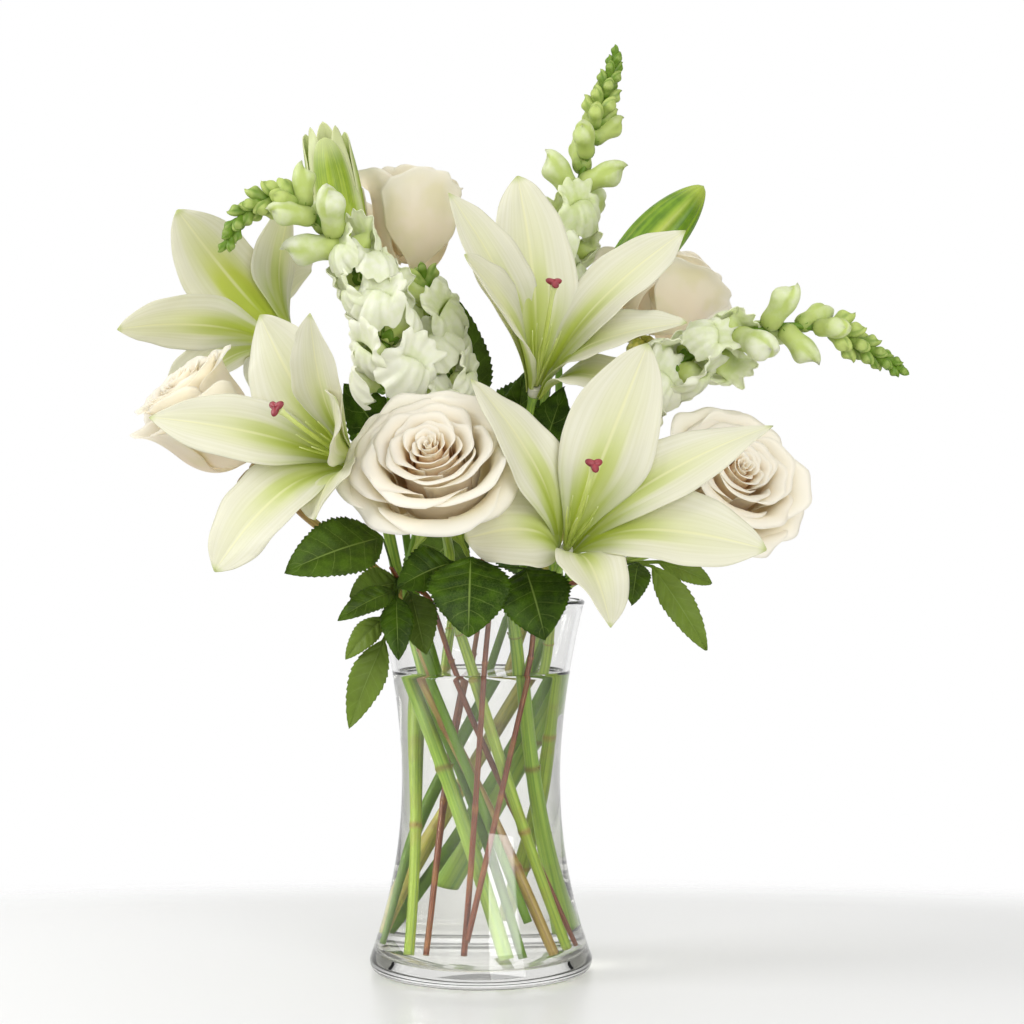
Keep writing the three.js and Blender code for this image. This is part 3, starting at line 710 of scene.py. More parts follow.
@dataclass(frozen=True)
class LeafFinish(Finish):
    """Glossy leaf: a pale midrib, side veins that rise to the edge, and a slightly puckered blade."""

    name: str = "glossy_leaf"
    dark: str = "283F07"
    light: str = "42600C"
    young: str = "849A40"
    vein: str = "82984A"
    veins: float = 7.0
    slant: float = 0.16

    def draw(self, mat: Shader) -> None:
        """Draws the leaf. A tone of 0 is an old dark leaf, and 1 a young light one.

        Args:
            mat: the material under construction.
        """
        rise = mat.add("Math", (mat.run, mat.product(mat.edge, self.slant)), operation="SUBTRACT")
        beat = mat.add("Math", (mat.product(rise, 2 * self.veins), 1.0), operation="PINGPONG")
        side = mat.product(mat.fade(beat, 0.0, 0.09, 0.4, 0.0), mat.fade(mat.edge, 0.5, 1.0, 1.0, 0.1))
        rib = mat.product(mat.fade(mat.edge, 0.008, 0.04, 0.85, 0.0), mat.fade(mat.run, 0.6, 1.0, 1.0, 0.4))
        patches = mat.blend(mat.fade(mat.speckle(8.0, detail=4.0), 0.35, 0.7), self.dark, self.light)
        blade = mat.blend(mat.product(mat.tone, 0.9), patches, self.young)
        net = mat.add("TexVoronoi", {"Vector": mat.uv, "Scale": 34.0}, feature="DISTANCE_TO_EDGE")
        netted = mat.blend(mat.fade(net, 0.0, 0.09, 0.16, 0.0), blade, self.vein)
        shown = mat.blend(mat.add("Math", (rib, side), operation="MAXIMUM"), netted, self.vein)
        pucker = mat.product(mat.fade(beat, 0.0, 1.0), 0.6)
        height = mat.total(pucker, mat.product(mat.speckle(1.4), 0.5))
        mat.skin(shown, height, 0.3, 0.6, 0.14, Roughness=0.42, Specular_IOR_Level=0.12)


@dataclass(frozen=True)
class ClearFinish(Finish):
    """Clear glass or water: smooth and polished. Some lamp light passes straight through, as its shine."""

    name: str = "clear_soda_glass"
    tint: str = "FDFDFC"
    ior: float = 1.5
    shadow: str = "F4F4F0"

    def draw(self, mat: Shader) -> None:
        """Draws the glass or water.

        Args:
            mat: the material under construction.
        """
        clear = {"Base Color": self.tint, "Roughness": 0.0, "IOR": self.ior, "Transmission Weight": 1.0}
        lamp_ray = mat.add("LightPath", out="Is Shadow Ray")
        through = mat.add("BsdfTransparent", (self.shadow,))
        shown = mat.add("MixShader", (lamp_ray, mat.add("BsdfPrincipled", clear), through))
        add_node(mat.tree, "OutputMaterial", {"Surface": shown})


# ---------------------------------------------------------------- lilies

THROAT_RADIUS = 3.2
THROAT_HEIGHT = 6.0
SEAT_HEIGHT = -1.0
LILY_LENGTH = 118.0
STYLE_LENGTH = 62.0
FILAMENT_LENGTH = 36.0
FILAMENTS = 6
LILY_PETAL_THICKNESS = 0.95
BUD_PETAL_THICKNESS = 1.2

# A style is pale lime and lets light through, a stigma is deep red and dull, a closed bud is full green
# with a pale tip, and an opening bud is yellow-green with broad pale bands.
LILY_PETAL = LilyPetalFinish()
LILY_STYLE = WaxyGreenFinish("lily_style_waxy", "E0E88C", "C8D66A", "EEF2C4", glow=0.3, ridges=12)
LILY_STIGMA = WaxyGreenFinish("lily_stigma_red", "8A2B33", "6E1C27", "A8434A", glow=0.0, ridges=8)
GREEN_SKIN = WaxyGreenFinish("lily_bud_green_waxy", "7A9E14", "50760C", "C8D45A", 0.8)
OPENING_SKIN = WaxyGreenFinish("lily_bud_opening_waxy", "B4C93E", "8CAA24", "E8EBBC", 0.6, 0.3)


@dataclass(frozen=True)
class PetalForm:
    """The outline and the bend that one kind of lily petal has."""

    width: float
    angles: tuple[float, ...]
    set_back: float = 0.0
    taper: float = 0.8


class LilyPetalKind(Enum):
    """The kinds of lily petal: the wide inner ones, the slim outer ones, and one that curls back."""

    WIDE = PetalForm(48, (14, 34, 60, 72, 84))
    SLIM = PetalForm(36, (16, 38, 64, 78, 96), set_back=1.4, taper=0.95)
    CURLED = PetalForm(52, (12, 42, 84, 112, 128))


@dataclass(frozen=True)
class LilyPetal:
    """One lily petal, placed round the throat.

    open and length are shares of its kind's lean and of the lilies' usual length. wash is the strength
    of its yellow-green.
    """

    kind: LilyPetalKind
    azimuth: float
    open: float = 1.0
    length: float = 1.0
    width: float | None = None
    wash: float = 0.6

    def breadth(self, u: float) -> float:
        """Gives the petal's outline: it widens from a narrow claw and tapers to a point.

        Args:
            u: the share of the way along the petal.

        Returns:
            How wide it is there, as a share of its full width.
        """
        if u < 0.5:
            return 0.12 + 0.88 * ease(u / 0.5)
        return max(0.008, 1 - (2 * u - 1) ** 2.1) ** self.kind.value.taper

    def surface(self) -> Surface:
        """Shapes the petal: rolled round the throat at its root, ribbed, and ruffled along its edges.

        Returns:
            Its middle surface.
        """
        form = self.kind.value
        radius = THROAT_RADIUS + form.set_back + 3 * (self.open - 0.8)
        rib = Midrib(radius, 0, LILY_LENGTH * self.length, [lean * self.open for lean in form.angles])
        width = self.width or form.width

        def at(u: float, v: float) -> Vector:
            """Finds a point. Ruffles and folds fade where the petal is too narrow for them.

            Args:
                u: the share of the way along it.
                v: the place across it, from -1 to 1.

            Returns:
                The point.
            """
            r, h, lean = rib.at(u)
            wavy = 1 + 0.04 * math.sin(12 * u + self.azimuth + 2 * v) * ease(2 * u)
            half = width / 2 * self.breadth(u) * wavy
            full = min(1.0, half / 9)
            wrap = 1 - ease((u - 0.08) / 0.3)
            turn = self.azimuth + math.degrees(wrap * v * half / r)
            ruffle = 1.7 * math.sin(9 * u + 2 * v + self.azimuth) * ease(2 * u - 0.2)
            lift = abs(v) ** 1.6 * (0.3 * half * (1.25 - u) * (1 - wrap) + ruffle * full)
            frill = 0.5 * math.sin(31 * u + 3 * v + 2 * self.azimuth) * abs(v) ** 4 * ease(3 * u - 0.6)
            twist = 4.0 * v * math.sin(0.7 * self.azimuth) * ease(2 * u - 0.8)
            groove = -0.9 * (hump(v, 0.09, 0.06) + hump(v, -0.09, 0.06)) * ease(4 * u) * (1 - 0.7 * u)
            folds = 0.4 * (hump(v, 0.34, 0.16) + hump(v, -0.34, 0.16)) * ease(3 * u - 0.5) * (1 - u)
            hook = 0.9 * ease(6 * u - 5)
            lift += (frill + twist + groove + folds) * full + hook
            out = polar(turn, r - lift * cosine(lean), h + lift * sine(lean))
            return out + polar(self.azimuth + 90, 1, 0) * ((1 - wrap) * v * half)

        return at


@dataclass(frozen=True)
class Lily:
    """A lily bloom: six petals, a style with its stigma, and six bare filaments.

    bend is how far the end of the style lies off the axis.
    """

    name: str
    seat: Seat
    bend: float
    petals: tuple[LilyPetal, ...]

    def build(self) -> None:
        """Builds the bloom's three pieces."""
        self.build_petals()
        self.build_style()
        self.build_stigma()

    def build_petals(self) -> None:
        """Builds the petals and the solid cup in which they meet."""
        frame = self.seat.frame()
        mesh = PieceMesh()
        for petal in self.petals:
            mesh.sheet(petal.surface(), 48, 24, frame, tone=petal.wash, thin_edges=True)

        def cup(u: float, angle: float) -> Pair:
            """Returns the cup's profile."""
            return along((0, 2.9, 3.1, 3.2, 0), u), along((-0.5, -0.5, 2, 4.6, 4.6), u)

        mesh.body(cup, 12, 24, frame)
        node = f"lily_{self.name}_petals"
        mesh.finish(f"lily_{self.name}_bloom", LILY_PETAL, "lily_petal", node, LILY_PETAL_THICKNESS)

    def build_style(self) -> None:
        """Builds the ovary with its style, and the filaments."""
        frame = self.seat.frame()
        mesh = PieceMesh()
        foot = THROAT_HEIGHT + CLEARANCE
        curve = [Vector((self.bend * t * t, 0, foot + STYLE_LENGTH * t)) for t in spread(0, 1, 5)]
        route = Route([frame @ point for point in curve])
        mesh.tube(route, lambda t: 2.1 - 0.9 * ease(3 * t) + 0.9 * hump(t, 1, 0.06), 26, 14)
        for i in range(FILAMENTS):
            turn = 360 / FILAMENTS * i + 30
            curl = 3 * math.sin(2.3 * i)
            line = [
                polar(turn, 1, foot + 0.6),
                polar(turn + curl, 3.6, foot + FILAMENT_LENGTH * 0.4),
                polar(turn + 2 * curl, 6.6, foot + FILAMENT_LENGTH * 0.75),
                polar(turn, 8.0, foot + FILAMENT_LENGTH),
            ]
            mesh.tube(Route([frame @ point for point in line]), lambda t: 1.0 - 0.72 * t, 14, 8)
        mesh.finish(f"lily_{self.name}_style", LILY_STYLE, "lily_pistil", f"lily_{self.name}_pistil")

    def build_stigma(self) -> None:
        """Builds the three-lobed knob at the end of the style."""
        mesh = PieceMesh()
        foot = THROAT_HEIGHT + STYLE_LENGTH + 2 * CLEARANCE

        def profile(u: float, angle: float) -> Pair:
            """Swells and lifts the knob at its three lobes.

            Args:
                u: the share of the way from foot to tip.
                angle: the place round the axis.

            Returns:
                The radius and the height.
            """
            lobe = 0.5 + 0.5 * cosine(3 * (angle - 60))
            belly = math.sin(math.pi * u) ** 0.6
            return (2.4 + 2.6 * lobe) * belly, foot + 4.3 * u - 1.3 * ease(3 * u - 2) * (1 - 0.6 * lobe)

        mesh.body(profile, 18, 36, self.seat.frame() @ Matrix.Translation((self.bend, 0, 0)))
        mesh.finish(f"lily_{self.name}_lobes", LILY_STIGMA, "lily_stigma", f"lily_{self.name}_stigma")


WIDE, SLIM, CURLED = LilyPetalKind
LILIES = (
    Lily("front", Seat((44, -73, 229), (0.2, -0.78, 0.58)), 5, (
        LilyPetal(WIDE, -27, 0.9, 1.02), LilyPetal(SLIM, -74, 0.9, 1.1),
        LilyPetal(WIDE, -113, 1.08, 0.96), LilyPetal(SLIM, 178, 0.92, 0.84),
        LilyPetal(CURLED, 88, 1.0, 0.54), LilyPetal(SLIM, 38, 0.9, 0.9),
    )),
    Lily("top", Seat((29, 0, 316), (0.16, -0.62, 0.77)), 4, (
        LilyPetal(WIDE, 6, 0.76, 1.04), LilyPetal(SLIM, -70, 0.68, 1.04),
        LilyPetal(WIDE, -117, 0.82, 0.88), LilyPetal(SLIM, -142, 1.02, 0.72),
        LilyPetal(WIDE, 86, 0.56, 0.86), LilyPetal(SLIM, 42, 0.66, 1.02),
    )),
    Lily("left", Seat((-64, -62, 276), (-0.52, -0.78, 0.34)), 3, (
        LilyPetal(WIDE, 32, 0.95, 0.8), LilyPetal(SLIM, -24, 0.5, 0.84),
        LilyPetal(SLIM, 90, 0.83, 0.95), LilyPetal(WIDE, 152, 1.15, 0.84),
        LilyPetal(SLIM, -160, 0.8, 0.54), LilyPetal(WIDE, -78, 0.5, 0.66, width=34),
    )),
    Lily("back", Seat((-108, 44, 346), (-0.66, 0.56, 0.5)), 3, (
        LilyPetal(WIDE, -48, 0.76, 0.86, wash=1.6), LilyPetal(SLIM, -104, 1.0, 0.87, wash=0.8),
        LilyPetal(WIDE, -165, 1.0, 0.86, wash=0.7), LilyPetal(SLIM, 135, 1.0, 0.87, wash=0.7),
        LilyPetal(WIDE, 75, 0.8, 0.86), LilyPetal(SLIM, 12, 0.9, 0.87),
    )),
)


@dataclass(frozen=True)
class LilyBud:
    """A lily bud with three ribs and three seams. split is how far the tips of its outer petals lean."""

    name: str
    seat: Seat
    length: float
    radius: float
    look: WaxyGreenFinish
    split: float = 0.0

    def build(self) -> None:
        """Builds the bud as one piece."""
        frame = self.seat.frame()
        mesh = PieceMesh()
        mesh.body(self.profile, 56, 96, frame, lambda u, v: self.band(180 * v) * hump(u, 0.5, 0.4))
        if self.split:
            for i in range(6):
                self.add_petal(mesh, frame, i)
        thickness = BUD_PETAL_THICKNESS if self.split else 0.0
        mesh.finish(f"lily_bud_{self.name}_skin", self.look, "lily_bud", f"lily_bud_{self.name}", thickness)

    def profile(self, u: float, angle: float) -> Pair:
        """Shapes the body of the bud. An opening bud's is fuller, shorter and blunt at its ends.

        Args:
            u: the share of the way from foot to tip.
            angle: the place round the axis.

        Returns:
            The radius and the height.
        """
        seam = hump(abs(self.off_rib(angle)), 60, 7)
        rib = hump(self.off_rib(angle), 0, 14)
        ribbed = 0.97 - 0.13 * seam + 0.06 * rib + 0.02 * cosine(12 * angle)
        if self.split:
            radius = self.radius * smooth_along((0.2, 0.5, 0.84, 1.0, 0.9, 0.6, 0.1), u) * ribbed
            return radius * min(1.0, 12 * u, 12 * (1 - u)), SEAT_HEIGHT + (self.length * 0.8 + 1) * u
        return self.radius * math.sin(math.pi * u**1.15) ** 0.6 * ribbed, SEAT_HEIGHT + (self.length + 1) * u

    def add_petal(self, mesh: PieceMesh, frame: Matrix, number: int) -> None:
        """Adds one of an opening bud's petals: three ribbed outer ones, then three pale inner ones.

        Args:
            mesh: where it goes.
            frame: the bud's frame.
            number: its number, from 0 to 5.
        """
        inner = number >= 3
        start, angles = (0.74, (4, 0, -5, -12)) if inner else (0.93, (5, 0, -4, self.split))
        reach = self.length * ((0.66 if inner else 0.6) + 0.05 * math.sin(2.4 * number))
        rib = Midrib(self.radius * start, self.length * 0.34, reach, angles)
        turn = 120 * number + (90 if inner else 30)

        def surface(u: float, v: float) -> Vector:
            """Finds a point on the petal, which narrows to a rounded tip.

            Args:
                u: the share of the way along it.
                v: the place across it, from -1 to 1.

            Returns:
                The point.
            """
            r, h, _ = rib.at(u)
            half = 56 * max(0.0, 1 - u**4) ** 0.62
            ridge = 1.4 * hump(v, 0, 0.2) - 0.9 * v * v
            return polar(turn + v * half, r + ridge * ease(3 * (1 - u)), h)

        def paleness(u: float, v: float) -> float:
            """Returns the petal's tone: pale towards its edges, and all over inside."""
            return max(0.8 if inner else 0.0, v**4 * 1.2 - 0.2)

        mesh.sheet(surface, 34, 20, frame, paleness, thin_edges=True)

    @staticmethod
    def off_rib(angle: float) -> float:
        """Returns the angle from the nearest of the three ribs."""
        return (angle + 90) % 120 - 60

    def band(self, angle: float) -> float:
        """Returns how pale the bud is at an angle: it has three broad pale bands and three narrow ones."""
        return max(0.75 * hump(self.off_rib(angle), 0, 11), 0.3 * hump(self.off_rib(angle - 60), 0, 4))


GREEN_BUD = LilyBud("green", Seat((63, 30, 368), (0.68, -0.02, 0.73)), 91, 15.0, GREEN_SKIN)
OPENING_BUD = LilyBud("opening", Seat((-75, 52, 387), (-0.19, 0, 0.98)), 88, 15.0, OPENING_SKIN, split=-4)


# ---------------------------------------------------------------- stems

NECK_HEIGHT = 206.0
NECK_RADIUS = 45.0
STEM_FOOT_HEIGHT = 11.5
ROSE_STEM_RADIUS = 2.5
SPIKE_RADIUS = 1.9
TWIG_RADIUS = 1.4
PEDICEL_RADIUS = 2.3
LILY_KNOTS = (0.15, 0.34)
KNOT_LENGTH = 0.0032  # as a share of the stem's parameter
SCAR_TONE = 0.35

# A lily's stalk is fresh green almost without bark, and a twig is covered in streaked red-brown bark.
LILY_STALK = StemFinish("lily_stalk_green", "9CBA42", "6E962C", "7B6A2E", 0.12)
TWIG_BARK = StemFinish("twig_bark_red_brown", "87492A", "5E3018", "A06E34", 0.6)


def taper(t: float) -> float:
    """Returns how thick a stem is at t, as a share of its radius halfway up."""
    return 1.12 - 0.26 * t


@dataclass(frozen=True)
class StemRun:
    """A stem's way from its cut end, straight to the rim and on to its end.

    neck is its azimuth at the rim, and foot the azimuth and the radius of its cut end. cut is the share
    of the way to the rim that is cut off, and reach the length that runs along axis at its end.
    """

    neck: float
    foot: Pair
    end: Vector | Triple
    axis: Vector | Triple
    via: tuple[Triple, ...] = ()
    cut: float = 0.0
    reach: float = 26.0

    def route(self) -> Route:
        """Lays the stem.

        Returns:
            Its line.
        """
        rim = polar(self.neck, NECK_RADIUS, NECK_HEIGHT)
        low = polar(*self.foot, STEM_FOOT_HEIGHT).lerp(rim, self.cut)
        end = Vector(self.end)
        approach = end - Vector(self.axis).normalized() * self.reach
        return Route([low, low.lerp(rim, 0.8), rim, *map(Vector, self.via), approach, end])

    def add_to(self, mesh: PieceMesh, radius: float, knots: Sequence[float], sides: int = 16) -> Route:
        """Adds the stem to a mesh, with a scar on one side of each knot.

        Args:
            mesh: where it goes.
            radius: its radius, halfway up.
            knots: the t of its knots.
            sides: how many sides it has.

        Returns:
            The stem's line.
        """
        route = self.route()

        def knot(t: float) -> float:
            """Returns how near t is to a knot."""
            return sum(hump(t, at, KNOT_LENGTH) for at in knots)

        def girth(t: float) -> float:
            """Returns the radius at t, which swells at the knots."""
            return radius * (taper(t) + 0.2 * knot(t))

        def scar(u: float, angle: float) -> Pair:
            """Returns the profile of the pointed scar."""
            return 0.5 * radius * (1 - u) ** 0.7 * min(1.0, 8 * u), radius * u

        mesh.tube(route, girth, 240, sides, lambda t: 0.4 * knot(t))
        for frame, at in zip(route.frames(knots), knots):
            turn = Matrix.Rotation(math.radians(900 * at + 40 * radius), 4, "Z")
            tilt = Matrix.Rotation(math.radians(62), 4, "Y")
            place = frame @ turn @ Matrix.Translation((0.7 * radius, 0, 0)) @ tilt
            mesh.body(scar, 8, 8, place, SCAR_TONE)
        return route


@dataclass(frozen=True)
class LilyStem:
    """A lily stem that forks into a stalk for each bloom and bud."""

    name: str
    neck: float
    foot: Pair
    fork: Triple
    radius: float
    seats: tuple[Seat, ...]
    cut: float = 0.0

    def build(self) -> None:
        """Builds the stem and its stalks as one piece."""
        mesh = PieceMesh()
        fork = Vector(self.fork)
        axis = fork - polar(self.neck, NECK_RADIUS, NECK_HEIGHT)
        run = StemRun(self.neck, self.foot, fork, axis, cut=self.cut, reach=14)
        run.add_to(mesh, self.radius, LILY_KNOTS)
        for seat in self.seats:
            bend = fork.lerp(seat.behind(34), 0.8)
            stalk = Route([fork, bend, seat.behind(16), seat.behind(CLEARANCE - SEAT_HEIGHT)])
            mesh.tube(stalk, lambda t: PEDICEL_RADIUS * (1 + 0.35 * hump(t, 1, 0.08)), 40, 14)
        mesh.finish(f"lily_stalk_{self.name}", LILY_STALK, "lily_stem", f"lily_stem_{self.name}")


LILY_STEMS = (
    LilyStem("front", -66, (46, 40), (36, -40, 214), 3.2, (LILIES[0].seat,)),
    LilyStem("top", 22, (121, 41), (32, 18, 276), 4.0, (LILIES[1].seat, GREEN_BUD.seat), cut=0.14),
    LilyStem("left", 168, (-71, 40), (-56, 8, 262), 3.4, (LILIES[2].seat, LILIES[3].seat, OPENING_BUD.seat)),
)


# ---------------------------------------------------------------- roses

# Each row bends a petal: the radius and height of its foot, its length, how many degrees of the bloom it
# spans, how far one of its edges stands out and the other in, and its lean from root to tip. The rows go
# from the heart to the outside.
ROSE_SPIRAL = (
    (1.0, 33, 17, 250, 0.9, 6, 0, -4, -8, -4, 24),
    (3.2, 27, 24, 195, 1.2, 26, 6, -4, -8, 2, 55),
    (4.8, 16, 36, 152, 1.5, 46, 22, 2, -2, 10, 78),
    (5.4, 9, 47, 132, 1.9, 60, 38, 14, 2, 18, 100),
    (5.4, 4.5, 55, 116, 2.2, 74, 52, 24, 8, 32, 125),
)
ROSE_GUARD = (5, 3.5, 54, 104, 2.0, 80, 56, 28, 16, 46, 140)
ROSE_GUARD_FLARE = 8  # the first number of a row that a rose's flare changes
ROSE_PETALS = 27
ROSE_PETAL_THICKNESS = 0.5
SEPALS = 5
SEPAL_THICKNESS = 0.3

ROSE_PETAL = RosePetalFinish()


class RoseStemShade(Enum):
    """The colours that the rose stems have."""

    GREEN = StemFinish("rose_stem_green", "A2BA40", "78962A", "9A7A3A", 0.3)
    OLIVE = StemFinish("rose_stem_olive", "BCB450", "929438", "8E6A30", 0.6)
    BRONZE = StemFinish("rose_stem_bronze", "A8924A", "8A7032", "7A4A28", 0.8)


@dataclass(frozen=True)
class Rose:
    """A rose: petals in a spiral round its heart, the outermost ones at given azimuths, and its hip.

    neck, foot and cut are its stem's. guards are the azimuths of the outermost petals, and roll turns
    the spiral. spread, tall and flare are shares of its width, its height and the lean of its outermost
    rims, and bloomed the share of the spiral that it has.
    """

    name: str
    seat: Seat
    scale: float
    neck: float
    foot: Pair
    guards: tuple[float, ...]
    roll: float = 0.0
    spread: float = 1.0
    flare: float = 1.0
    tall: float = 1.0
    bloomed: float = 1.0
    cut: float = 0.0
    knots: tuple[float, ...] = (0.1, 0.24, 0.36)
    shade: RoseStemShade = RoseStemShade.GREEN

    @staticmethod
    def petal(row: Sequence[float], number: int, azimuth: float, crinkle: float) -> Surface:
        """Shapes a petal.

        Args:
            row: its bend, as in the rose's tables.
            number: changes its length and the roll of its rim a little.
            azimuth: where it stands round the heart.
            crinkle: how far its rim waves.

        Returns:
            Its middle surface.
        """
        radius, height, length, reach, tuck, *angles = row
        swing = math.sin(2.4 * number + 1)
        bends = [a * (1 + 0.3 * swing * (i / 5) ** 2) for i, a in enumerate(angles)]
        rib = Midrib(radius, height, length * (1 + 0.04 * math.sin(4.1 * number)), bends)

        def at(u: float, v: float) -> Vector:
            """Finds a point. The rim falls off to each side of a low point near its middle.

            Args:
                u: the share of the way along it.
                v: the place across it, from -1 to 1.

            Returns:
                The point.
            """
            point = 0.045 * hump(v, 0.3 * math.sin(azimuth), 0.14)
            shoulder = 1 - (0.17 * abs(v) ** 2.4 - point) * ease(2 * u - 0.6)
            r, h, _ = rib.at(u * min(1.0, shoulder))
            half = reach / 2 * (0.4 + 0.6 * ease(1.7 * u))
            wave = math.sin(5 * v + azimuth) + 0.6 * math.sin(12 * v + 2 * azimuth)
            ruffle = crinkle * wave * ease(2.4 * u - 1.2)
            return polar(azimuth + v * half, r + tuck * v * ease(2 * u) + ruffle, h + 0.7 * ruffle)

        return at

    def build(self) -> None:
        """Builds the bloom and the stem, a piece each."""
        self.build_bloom()
        self.build_stem()

    def build_bloom(self) -> None:
        """Builds all petals as one piece."""
        width = self.scale * self.spread
        frame = self.seat.frame() @ Matrix.Diagonal((width, width, self.scale * self.tall, 1))
        mesh = PieceMesh()
        for i in range(ROSE_PETALS):
            age = i / (ROSE_PETALS - 1)
            row = [along(column, age**0.85 * self.bloomed) for column in zip(*ROSE_SPIRAL)]
            azimuth = self.roll + i * GOLDEN_ANGLE + 9 * math.sin(5.3 * i)
            petal = self.petal(row, i, azimuth, 0.2 + 0.8 * age)
            mesh.sheet(petal, 20, 28, frame, 0.85 * age, thin_edges=True)
        rims = [lean * self.flare for lean in ROSE_GUARD[ROSE_GUARD_FLARE:]]
        row = [*ROSE_GUARD[:ROSE_GUARD_FLARE], *rims]
        for i, azimuth in enumerate(self.guards):
            mesh.sheet(self.petal(row, i, azimuth, 1.0), 28, 30, frame, 1.0, thin_edges=True)
        node = f"rose_{self.name}_petals"
        mesh.finish(f"rose_{self.name}_bloom", ROSE_PETAL, "rose_petal", node, ROSE_PETAL_THICKNESS)

    def build_stem(self) -> None:
        """Builds the hip, its sepals and the stem as one piece."""
        frame = self.seat.frame() @ Matrix.Scale(self.scale, 4)
        mesh = PieceMesh()

        def hip(u: float, angle: float) -> Pair:
            """Returns the profile of the hip, which widens under the petals."""
            radius = along((3.1, 3.3, 4.8, 6.0, 5.6, 5.0, 4.0), u)
            return radius * min(1.0, 14 * u, 14 * (1 - u)), -15 + 14.6 * u

        def sepal(u: float, v: float) -> Vector:
            """Finds a point on a wavy-edged sepal that stands out from the hip along X and droops.

            Args:
                u: the share of the way along it.
                v: the place across it, from -1 to 1.

            Returns:
                The point.
            """
            half = 3.4 * (1 - u) ** 0.7 * (1 + 0.3 * math.sin(16 * u))
            height = -2.2 - 9.4 * u**1.6 + 2.0 * math.sin(math.pi * u) + 0.5 * abs(v)
            return Vector((4.4 + 18.6 * u**0.9, v * half, height))

        mesh.body(hip, 22, 20, frame)
        for i in range(SEPALS):
            mesh.sheet(sepal, 14, 4, frame @ Matrix.Rotation(2 * math.pi * i / SEPALS, 4, "Z"))
        run = StemRun(self.neck, self.foot, self.seat.behind(12), self.seat.axis, cut=self.cut)
        run.add_to(mesh, ROSE_STEM_RADIUS, self.knots)
        node = f"rose_{self.name}_stem"
        mesh.finish(f"rose_{self.name}_stalk", self.shade.value, "rose_stem", node, SEPAL_THICKNESS)


ROSES = (
    Rose(
        "front", Seat((-20, -59, 251), (-0.1, -0.8, 0.6)), 1.18, -110, (-17, 42.6),
        (80, 138, 195, -108, -56), roll=20,
    ),
    Rose(
        "left", Seat((-124, -3, 278), (-0.64, -0.3, 0.71)), 1.2, -172, (-36, 44.8),
        (-120, 165, 80), spread=0.95, flare=0.45, tall=1.08, bloomed=0.8,
        knots=(0.07, 0.19, 0.3), shade=RoseStemShade.BRONZE,
    ),
    Rose(
        "back_left", Seat((-42, 72, 386), (-0.04, 0.2, 0.97)), 1.12, 112, (-142, 44.2),
        (8, 130, -112), roll=70, spread=0.95, flare=0.4, tall=1.12, bloomed=0.84,
    ),
    Rose(
        "back_right", Seat((93, 78, 352), (0.36, 0.34, 0.87)), 1.1, 46, (158, 42),
        (-60, 90, 170), roll=10, bloomed=0.9, knots=(0.13, 0.28), shade=RoseStemShade.OLIVE,
    ),
    Rose(
        "right", Seat((118, 15, 249), (0.42, -0.76, 0.48)), 1.16, -20, (81, 38),
        (-65, -130, 165, 95), roll=40, cut=0.04, knots=(0.05, 0.17, 0.31),
    ),
)


# ---------------------------------------------------------------- snapdragons

SNAPDRAGON = SnapdragonFinish()
CALYX_TONE = 0.96
TIGHTEST_BUD_TONE = 0.95
FLORET_TUBE = 14.5
BUD_LENGTH = 28.0
BUD_RADIUS = 6.9
FLORET_THICKNESS = 0.5


